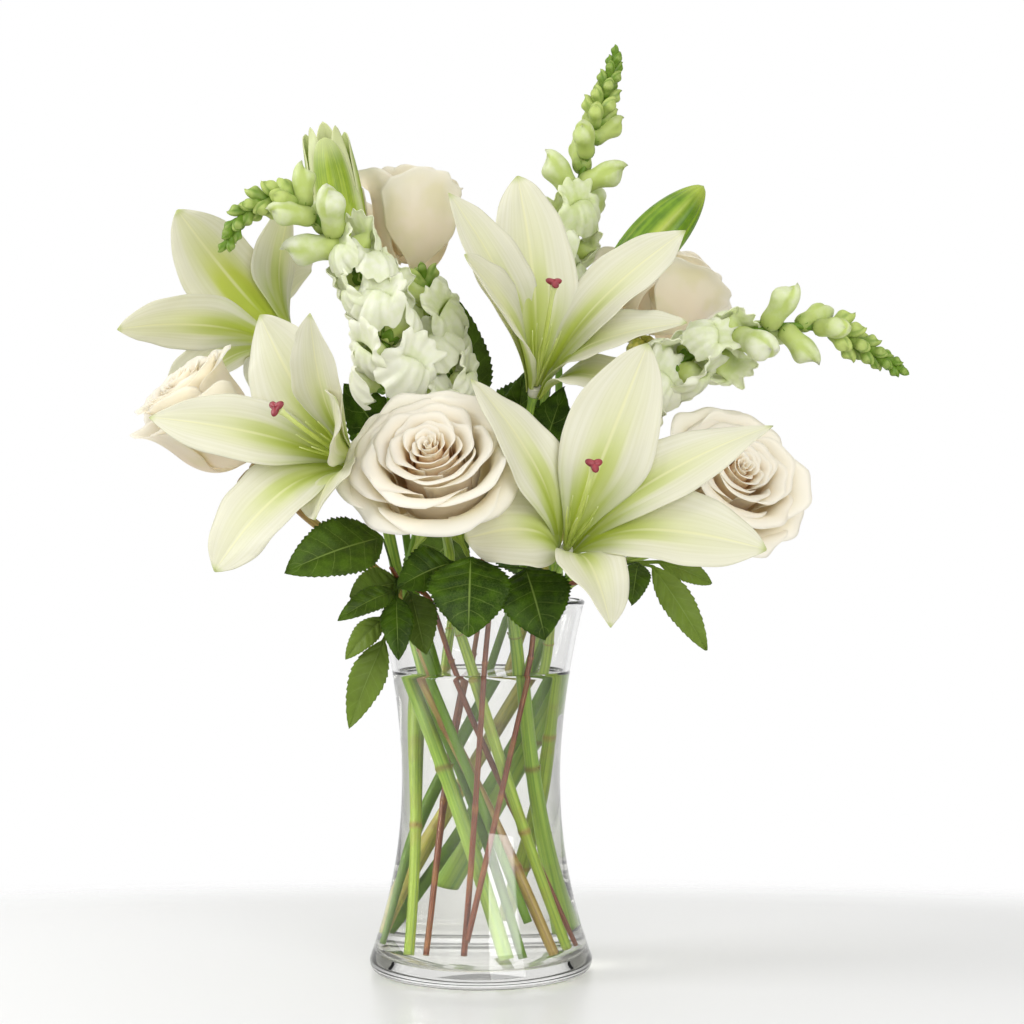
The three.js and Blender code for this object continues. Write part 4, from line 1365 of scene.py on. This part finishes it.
class SpikeMesh(PieceMesh):
    """The mesh of a snapdragon spike, with the forms that stand round its stem."""

    def add_floret(self, place: Matrix, seed: int, tone: float) -> None:
        """Adds an open floret: a tube, two lobes that stand up, three that hang, and a closed throat.

        Args:
            place: its frame.
            seed: makes its ruffles its own.
            tone: how green it is.
        """

        def corolla(u: float, v: float) -> Vector:
            """Finds a point on the corolla, which bulges under its mouth and then parts into lobes.

            Args:
                u: the share of the way along it.
                v: the place across it, from -1 to 1.

            Returns:
                The point.
            """
            angle = 180 * v
            turn = math.radians(angle)
            upper = ease(0.5 + 0.9 * cosine(angle))
            gaps = hump(abs(angle), 72, 9) + 0.45 * (hump(angle, 0, 9) + hump(abs(angle), 144, 9))
            out = ease((u - 0.42) / 0.58)
            mouth = hump(u, 0.48, 0.12)
            pouch = (2.4 + 3.4 * ease(2.4 * u)) * (1 + 0.3 * (1 - upper) * hump(u, 0.3, 0.2))
            crimp = math.sin(12 * turn + seed) + 0.8 * math.sin(7 * turn + 2 * seed)
            wave = 1.25 * crimp * out**1.5
            reach = pouch + out * (7.2 - 0.4 * upper - 3.0 * gaps) + 0.5 * wave
            lower_rise = 4.0 * out - 13.5 * out**2.2
            upper_rise = 9.5 * out - 4.5 * out**3
            height = FLORET_TUBE * min(1.0, 2 * u) + upper * upper_rise + (1 - upper) * lower_rise + wave
            chin = (1 - upper) * hump(u, 0.57, 0.12)
            height += 3.0 * chin * (0.7 + 0.3 * cosine(3 * (180 - abs(angle))))
            forward = cosine(angle) * reach * (1 - 0.7 * mouth) + 3.4 * chin * abs(cosine(angle))
            return Vector((forward, sine(angle) * reach, height))

        self.sheet(corolla, 24, 60, place, lambda u, v: tone + 0.4 * (1 - ease(1.25 * u)))
        self.add_calyx(place, 3.2, 6.0)

    def add_bud(self, place: Matrix, tone: float) -> None:
        """Adds a closed bud in its green calyx: a slim pouch with a two-lipped head.

        Args:
            place: its frame.
            tone: how green it is.
        """

        def skin(u: float, angle: float) -> Pair:
            """Shapes the bud, with the crease between its lips and the fold along its back.

            Args:
                u: the share of the way from foot to tip.
                angle: the place round the axis.

            Returns:
                The radius and the height.
            """
            end = math.sqrt(max(0.0, 1 - (2 * u - 1) ** 10))
            crease = 1 - 0.24 * hump(abs(angle), 100, 11) * ease(3 * u - 1.2)
            fold = 1 - 0.16 * hump(angle, 0, 14) * ease(3 * u - 1.8)
            chin = 1 + 0.2 * hump(abs(angle), 180, 55) * hump(u, 0.72, 0.14)
            share = smooth_along((0.62, 0.82, 0.84, 0.8, 0.84, 0.96, 1.0, 0.94, 0.8, 0.3), u)
            tilt = 2.6 * cosine(angle) * ease(4 * u - 3)
            return BUD_RADIUS * share * end * crease * fold * chin, BUD_LENGTH * u + tilt

        def green(u: float, v: float) -> float:
            """Returns the bud's tone: greener at its foot and along its crease, and paler at its head."""
            seam = 0.22 * hump(abs(180 * v), 100, 16) * ease(3 * u - 1.2)
            return tone + 0.3 * (1 - ease(2.2 * u)) + seam - 0.14 * ease(3 * u - 1.5)

        self.body(skin, 20, 24, place, green)
        self.add_calyx(place, 4.4, 9.5)

    def add_calyx(self, place: Matrix, radius: float, height: float) -> None:
        """Adds five green sepals that hold a floret or a bud.

        Args:
            place: its frame.
            radius: how wide the cup gets.
            height: how high the sepals reach.
        """

        def cup(u: float, v: float) -> Vector:
            """Returns a point on the cup, whose rim rises in five lobes."""
            top = height * (0.5 + 0.5 * abs(cosine(2.5 * 180 * v)))
            return polar(180 * v, radius * (0.25 + 0.85 * ease(1.4 * u)) + 0.5, top * u - 0.4)

        self.sheet(cup, 8, 30, place, CALYX_TONE)


@dataclass(frozen=True)
class Snapdragon:
    """A snapdragon spike: open florets low down, then swelling pods, then tight green buds to its tip.

    flowering is the length that has flowers, and tip_length the part of it with the tight buds. phase
    is the place of the lowest floret round the stem, and green how green the florets are.
    """

    name: str
    run: StemRun
    flowering: float
    florets: int
    pods: int
    phase: float
    green: float
    tip_length: float = 46.0
    tip_buds: int = 20

    def build(self) -> None:
        """Builds the whole spike with its stem as one piece."""
        mesh = SpikeMesh()
        route = self.run.route()
        mesh.tube(route, self.stem_radius, 170, 14, lambda t: 1.0)
        count = self.florets + self.pods
        for i in range(count):
            height = self.tip_length + (self.flowering - self.tip_length) * (1 - (i + 0.5) / count) ** 0.9
            share = 1 - height / route.length
            turn = self.phase + i * GOLDEN_ANGLE
            if i < self.florets:
                age = i / self.florets
                place = self.perch(route, share, turn, 62 - 14 * age + 20 * math.sin(2.7 * i))
                place = place @ Matrix.Rotation(0.8 * math.sin(3.9 * i), 4, "Z")
                size = 1.26 - 0.2 * age + 0.14 * math.sin(2.1 * i)
                mesh.add_floret(place @ Matrix.Scale(size, 4), i, 0.8 * self.green + 0.14 * age)
            else:
                age = (i - self.florets) / self.pods
                place = self.perch(route, share, turn, 56 - 14 * age + 8 * math.sin(2.7 * i))
                mesh.add_bud(place @ Matrix.Scale(1.18 - 0.4 * age, 4), self.green + 0.24 + 0.16 * age)
        for i in range(self.tip_buds):
            age = i / self.tip_buds
            share = 1 - (1 - age) * self.tip_length / route.length
            place = self.perch(route, share, self.phase + 80 + i * GOLDEN_ANGLE, 46 - 24 * age)
            tone = min(TIGHTEST_BUD_TONE, 0.62 + 0.4 * age)
            mesh.add_bud(place @ Matrix.Scale(0.64 - 0.36 * age**0.8, 4), tone)
        name = f"snapdragon_{self.name}"
        mesh.finish(f"{name}_spike", SNAPDRAGON, "snapdragon", name, FLORET_THICKNESS)

    @staticmethod
    def stem_radius(t: float) -> float:
        """Returns the radius of the stem at t: it narrows to its tip."""
        return SPIKE_RADIUS * taper(t) * (1 - 0.6 * ease(6 * t - 5))

    @staticmethod
    def perch(route: Route, share: float, turn: float, lean: float) -> Matrix:
        """Places a floret or bud on the stem.

        Args:
            route: the stem's line.
            share: how far up the stem it stands.
            turn: its place round the stem.
            lean: how far it leans from the stem.

        Returns:
            Its frame: Z away from the stem, and X up along it.
        """
        t = route.share(share)
        forward = route.tangent(t)
        side = Vector((0, 1, 0)).cross(forward).normalized()
        side = Matrix.Rotation(math.radians(turn), 3, forward) @ side
        return basis(forward * cosine(lean) + side * sine(lean), forward, route.point(t))


SNAPDRAGONS = (
    Snapdragon("top", StemRun(
        65, (-176, 46), (78, 74, 517), (0.3, 0, 0.95),
        ((42, 58, 290), (45, 74, 380), (54, 76, 433)), reach=10,
    ), 158, 8, 6, 40, green=0.12),
    Snapdragon("left", StemRun(
        146, (-59, 40.4), (-137, -18, 396), (-0.4, 0, -0.9),
        ((-48, -12, 300), (-53, -18, 351), (-67, -16, 385), (-104, -14, 420), (-124, -16, 416)), reach=10,
    ), 170, 13, 5, 180, green=0.05, tip_length=50),
    Snapdragon("right", StemRun(
        1, (144, 41), (231, 8, 330), (0.8, 0, -0.5),
        ((74, 16, 296), (104, 12, 330), (154, 8, 352), (190, 8, 352)), reach=10,
    ), 192, 12, 6, 90, green=0.06),
    Snapdragon("middle", StemRun(
        -153, (-47, 44.8), (-32, 12, 382), (-0.2, 0.1, 0.95),
        ((-22, -6, 290), (-20, 6, 330)), cut=0.1, reach=10,
    ), 100, 11, 2, 0, green=0.04, tip_length=10, tip_buds=5),
)


# ---------------------------------------------------------------- leafy branches

FRONT = (0, -1, 0.35)
BACK = (0, 1, 0.35)
STALK_SHARE = 0.1  # of a leaf's sheet, which is its stalk
STALK_HALF_WIDTH = 1.1
BROADEST = 0.42  # the share of the blade below its broadest place
LEAF_THICKNESS = 0.8
TWIG_KNOTS = (0.12, 0.27, 0.41, 0.55)

LEAF = LeafFinish()


@dataclass(frozen=True)
class Leaf:
    """A leaf on a branch: it leaves the stem at t, and its blade runs from start to tip."""

    t: float
    start: Triple
    tip: Triple
    width: float
    teeth: int = 14
    youth: float = 0.0
    facing: Triple = FRONT

    def surface(self, joint: Vector) -> Surface:
        """Shapes the leaf: a stalk, and a toothed blade that bows and puckers between its veins.

        Args:
            joint: where its stalk leaves the branch.

        Returns:
            Its middle surface.
        """
        start = Vector(self.start)
        run = Vector(self.tip) - start
        forward = run.normalized()
        up = Vector(self.facing)
        up = (up - forward * up.dot(forward)).normalized()
        side = forward.cross(up)

        def at(u: float, v: float) -> Vector:
            """Finds a point on the stalk or on the blade.

            Args:
                u: the share of the way along it.
                v: the place across it, from -1 to 1.

            Returns:
                The point.
            """
            t = (u - STALK_SHARE) / (1 - STALK_SHARE)
            off = abs(v)
            if t < 0:
                return joint.lerp(start, u / STALK_SHARE) + side * (v * STALK_HALF_WIDTH) + up * (0.6 * off)
            low, high = t / BROADEST, (t - BROADEST) / (1 - BROADEST)
            belly = math.sin(low * math.pi / 2) ** 0.75 if low < 1 else max(0.0, 1 - high**1.7) ** 0.85
            saw = 0.95 + 0.1 * ((t * self.teeth) % 1.0) * min(1.0, 6 * t)
            half = max(STALK_HALF_WIDTH * (1 - t**9), self.width / 2 * belly * saw)
            bow = 4 * math.sin(math.pi * t) + 0.22 * half * off - 1.2 * off**3 * ease(3 * t) * (1 - t)
            beat = math.cos(2 * math.pi * LEAF.veins * (t - LEAF.slant * off))
            pucker = 1.4 * beat * off * (1 - off) * (1 - t)
            sway = 1.6 * math.sin(5 * t + self.width) * v * ease(2 * t)
            return start + run * t + up * (bow + pucker + sway - 0.5 * hump(v, 0, 0.08)) + side * (v * half)

        return at


@dataclass(frozen=True)
class Branch:
    """A woody twig with leaves."""

    name: str
    run: StemRun
    leaves: tuple[Leaf, ...]

    def build(self) -> None:
        """Builds the twig and its leaves, a piece each."""
        wood = PieceMesh()
        route = self.run.add_to(wood, TWIG_RADIUS, TWIG_KNOTS, sides=12)
        green = PieceMesh()
        for leaf in self.leaves:
            joint = route.point(route.share(leaf.t))
            green.sheet(leaf.surface(joint), 84, 16, tone=leaf.youth, thin_edges=True)
        name = f"branch_{self.name}"
        wood.finish(f"{name}_twig", TWIG_BARK, "leaf", name)
        green.finish(f"{name}_leaves", LEAF, "leaf", name, LEAF_THICKNESS)


BRANCHES = (
    Branch("left", StemRun(-129, (-8, 45.1), (-46, -62, 222), (-0.3, -0.8, 0.5), reach=18), (
        Leaf(0.99, (-50, -72, 238), (-97, -104, 221), 34, 22, 0.1),
        Leaf(0.95, (-44, -66, 210), (-72, -84, 196), 15, youth=0.1),
        Leaf(0.96, (-43, -68, 207), (-41, -84, 175), 17),
        Leaf(0.93, (-50, -58, 196), (-70, -60, 174), 14, youth=0.7),
        Leaf(0.9, (-50, -56, 184), (-68, -62, 138), 19, youth=0.6),
        Leaf(0.94, (-42, -56, 214), (-68, -54, 206), 22, youth=0.35),
        Leaf(0.92, (-36, -52, 208), (-28, -66, 177), 22, youth=0.3),
    )),
    Branch("centre", StemRun(-84, (-105, 29.6), (0, -78, 226), (0, -0.9, 0.4), reach=18), (
        Leaf(0.99, (-4, -88, 228), (-5, -104, 188), 42, 20),
        Leaf(0.97, (24, -84, 222), (34, -102, 187), 38, 20),
        Leaf(0.94, (-14, -73, 225), (-42, -82, 212), 26),
    )),
    Branch("right", StemRun(-42, (-103, 38.1), (78, -30, 226), (0.6, -0.2, 0.4), cut=0.05, reach=18), (
        Leaf(0.99, (92, -34, 222), (121, -34, 177), 18, youth=0.7),
        Leaf(0.97, (84, -38, 224), (80, -48, 202), 16, youth=0.1),
        Leaf(0.98, (96, -22, 224), (125, -18, 212), 13, youth=0.6),
    )),
    Branch("back", StemRun(90, (-132, 39), (-6, 88, 296), (-0.2, 0.4, 0.9), reach=18), (
        Leaf(0.995, (-12, 94, 300), (-44, 126, 336), 38, 20, 0.0, BACK),
        Leaf(0.97, (8, 96, 292), (42, 130, 334), 38, 20, 0.0, BACK),
        Leaf(0.88, (22, 94, 268), (74, 122, 282), 40, 20, 0.2, BACK),
        Leaf(0.86, (-16, 88, 262), (-72, 110, 268), 40, 20, 0.1, BACK),
        Leaf(0.78, (14, 82, 240), (40, 118, 206), 38, 20, 0.0, BACK),
        Leaf(0.8, (-12, 80, 240), (-48, 108, 204), 36, 20, 0.2, BACK),
        Leaf(0.99, (-6, 78, 308), (-16, 40, 374), 30, 18, 0.2),
        Leaf(0.9, (18, 78, 280), (24, 44, 330), 28, 18, 0.1),
        Leaf(0.93, (-20, 76, 290), (-46, 44, 342), 30, 18, 0.1),
        Leaf(0.84, (26, 70, 268), (58, 26, 310), 34, 18),
        Leaf(0.82, (4, 66, 262), (12, 18, 304), 32, 18, 0.1),
        Leaf(0.86, (-46, 40, 276), (-76, 6, 322), 36, 18),
        Leaf(0.8, (28, 46, 262), (46, 8, 320), 34, 18),
    )),
)


# ---------------------------------------------------------------- vase and water

GLASS = ClearFinish()
WATER = ClearFinish("still_water", "FDFDFA", 1.333, "FDFDFC")


@dataclass(frozen=True)
class Vase:
    """The flared glass vase and its water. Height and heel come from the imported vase.

    lip_start is how far below the rim the lip begins, dish how far the middle of the floor dips, and wet
    how far the water reaches into the glass, so that no air lies between them. meniscus is how high the
    water climbs at its edge, and meniscus_width how fast that fades.
    """

    height: float
    heel_radius: float
    heel_height: float = 7.0
    heel_round: float = 5.0
    heel_rise: float = 5.5
    waist_radius: float = 43.5
    waist_height: float = 106.0
    rim_radius: float = 57.0
    lip_height: float = 1.7
    lip_start: float = 3.0
    wall: float = 3.4
    floor: float = 8.5
    corner_height: float = 12.0
    corner_width: float = 5.5
    dish: float = 1.2
    dish_radius: float = 48.0
    wet: float = 0.12
    water_level: float = 163.0
    meniscus: float = 1.4
    meniscus_width: float = 1.1
    sides: int = 128

    @classmethod
    def from_frame(cls) -> "Vase":
        """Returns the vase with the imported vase's height and widest radius."""
        low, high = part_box("vase")
        return cls(height=high.z / MM, heel_radius=(high.x - low.x) / 2 / MM)

    def outer(self, z: float) -> float:
        """Curves the wall in from the heel to the waist, and out from there to the rim.

        Args:
            z: a height.

        Returns:
            The outer radius there.
        """
        if z < self.waist_height:
            t = (self.waist_height - z) / (self.waist_height - self.heel_height)
            return self.waist_radius + (self.heel_radius - self.waist_radius) * t**2.1
        t = (z - self.waist_height) / (self.height - self.waist_height)
        return self.waist_radius + (self.rim_radius - self.waist_radius) * t**1.75

    def inner(self, z: float) -> float:
        """Follows the outside at the wall's thickness, and rounds in to the floor.

        Args:
            z: a height.

        Returns:
            The inner radius there.
        """
        left = 1 - min(1.0, (z - self.floor) / self.corner_height)
        return self.outer(z) - self.wall - self.corner_width * (1 - math.sqrt(max(0.0, 1 - left**2)))

    def bowl(self, radii: Sequence[float], drop: float = 0.0) -> list[Pair]:
        """Returns points of the dished floor at these radii, lower by drop."""
        return [(r, self.floor - self.dish * (1 - (r / self.dish_radius) ** 2) - drop) for r in radii]

    def build(self) -> None:
        """Builds the vase and its water, a piece each."""
        self.build_glass()
        self.build_water()

    def build_glass(self) -> None:
        """Builds the vase as one turned shell with a rounded heel and lip."""
        foot = [(0, 1.0), (40, 0.8), (48, 0.0), (54, 0.0)]
        heel_middle = self.heel_radius - self.heel_round
        heel = [
            (heel_middle + self.heel_round * math.sin(a), self.heel_rise - self.heel_rise * math.cos(a))
            for a in spread(0.12, 1.5, 9)
        ]
        outside = [(self.outer(z), z) for z in spread(self.heel_height, self.height - self.lip_start, 44)]
        half, lip_foot = self.wall / 2, self.height - self.lip_height
        lip = [
            (self.rim_radius - half + half * math.cos(a), lip_foot + self.lip_height * math.sin(a))
            for a in spread(0, math.pi, 9)
        ]
        inside = [(self.inner(z), z) for z in spread(self.floor, self.height - self.lip_start, 60)]
        bowl = self.bowl((40, 30, 20, 10, 0))
        mesh = PieceMesh()
        mesh.lathe([*foot, *heel, *outside, *lip, *reversed(inside), *bowl], self.sides)
        mesh.finish("vase_glass", GLASS, "vase_glass", "vase")

    def build_water(self) -> None:
        """Builds the water as a turned body that wets the glass, with a meniscus at its edge."""
        top = self.water_level + self.meniscus
        side = [(self.inner(z) + self.wet, z) for z in spread(self.floor, top, 60)]
        edge = self.inner(self.water_level)
        climb = [
            (edge - d, self.water_level + self.meniscus * math.exp(-d / self.meniscus_width))
            for d in (0.5, 1.1, 1.9, 3, 5, 10)
        ]
        mesh = PieceMesh()
        bowl = self.bowl((0, 10, 20, 30, 40), self.wet)
        mesh.lathe([*bowl, *side, *climb, (0, self.water_level)], self.sides)
        mesh.finish("vase_water", WATER, "vase_water", "water")


# ---------------------------------------------------------------- studio


@dataclass(frozen=True)
class TableFinish(Finish):
    """Satin white table: soft reflections, and an edge that fades out so that the ground looks endless."""

    name: str = "satin_white_table"
    board: str = "E1E1E0"

    def draw(self, mat: Shader) -> None:
        """Draws the table top, as an oval that ends 0.3 m in front of the vase and 0.75 m to its sides.

        Args:
            mat: the material under construction.
        """
        place = mat.add("TexCoord", out="Object")
        oval = mat.add("Mapping", {"Vector": place, "Scale": (0.4, 1.0, 1.0)})
        far = mat.fade(mat.add("VectorMath", (oval,), out="Value", operation="LENGTH"), 0.2, 0.3)
        sockets = {"Base Color": self.board, "Roughness": 0.3, "Specular IOR Level": 0.4}
        board = mat.add("BsdfPrincipled", sockets)
        shown = mat.add("MixShader", (far, board, mat.add("BsdfTransparent")))
        add_node(mat.tree, "OutputMaterial", {"Surface": shown})


@dataclass(frozen=True)
class Studio:
    """The pale floor, the soft light and the camera at the photograph's angle."""

    camera_place: Triple = (17, -1200, 251)
    sensor: float = 36.0
    focal_pixels: float = 2182.0
    frame_pixels: float = 1024.0
    light_target: Triple = (0, 0, 240)
    floor_radius: float = 2000.0

    def build(self) -> None:
        """Builds the floor, the world, the lights and the camera."""
        self.build_floor()
        self.build_world()
        self.add_light("key_light", (-1300, -250, 900), size=700, watts=14.0)
        self.add_light("fill_light", (850, -1550, 700), size=1200, watts=17.0)
        camera = bpy.data.cameras.new("photo_camera")
        camera.sensor_width = self.sensor
        camera.lens = self.sensor * self.focal_pixels / self.frame_pixels
        stand = add_object("photo_camera", camera, self.camera_place)
        stand.rotation_euler = (math.pi / 2, 0, 0)
        bpy.context.scene.camera = stand

    def build_floor(self) -> None:
        """Builds a pale, slightly glossy floor that fades out some way from the vase."""
        bm = bmesh.new()
        bmesh.ops.create_circle(bm, cap_ends=True, segments=96, radius=self.floor_radius * MM)
        mesh = bpy.data.meshes.new("floor")
        bm.to_mesh(mesh)
        bm.free()
        mesh.materials.append(TableFinish().material())
        floor = add_object("floor", mesh)

    def build_world(self) -> None:
        """Builds an even white surround, with greyer sides that only glass and gloss pick up."""
        world = Shader(bpy.data.worlds.new("white_studio"))
        way = world.add("SeparateXYZ", (world.add("TexCoord", out="Generated"),), out="X")
        level = world.fade(world.add("Math", (way,), operation="ABSOLUTE"), 0.4, 0.9, 0.95, 0.3)
        lit = world.add("Background", {"Color": "FFFFFF", "Strength": level})
        plain = world.add("Background", {"Color": "FFFFFF", "Strength": 1.0})
        seen = world.add("LightPath", out="Is Camera Ray")
        add_node(world.tree, "OutputWorld", {"Surface": world.add("MixShader", (seen, lit, plain))})
        bpy.context.scene.world = world.block

    def add_light(self, name: str, place: Triple, size: float, watts: float) -> None:
        """Adds a square soft light that shines at the bouquet.

        Args:
            name: its name.
            place: where it stands.
            size: the length of its side.
            watts: its power.
        """
        light = bpy.data.lights.new(name, "AREA")
        light.energy = watts
        light.size = size * MM
        stand = add_object(name, light, place)
        aim = Vector(self.light_target) * MM - stand.location
        stand.rotation_euler = aim.to_track_quat("-Z", "Y").to_euler()


def main() -> None:
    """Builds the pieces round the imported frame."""
    logging.basicConfig(level=logging.INFO, format="%(name)s: %(message)s")
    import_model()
    bpy.context.scene.view_settings.view_transform = "Standard"
    Studio().build()
    for part in (*LILIES, GREEN_BUD, OPENING_BUD, *LILY_STEMS, *ROSES, *SNAPDRAGONS, *BRANCHES):
        part.build()
    Vase.from_frame().build()


if __name__ == "__main__":
    main()
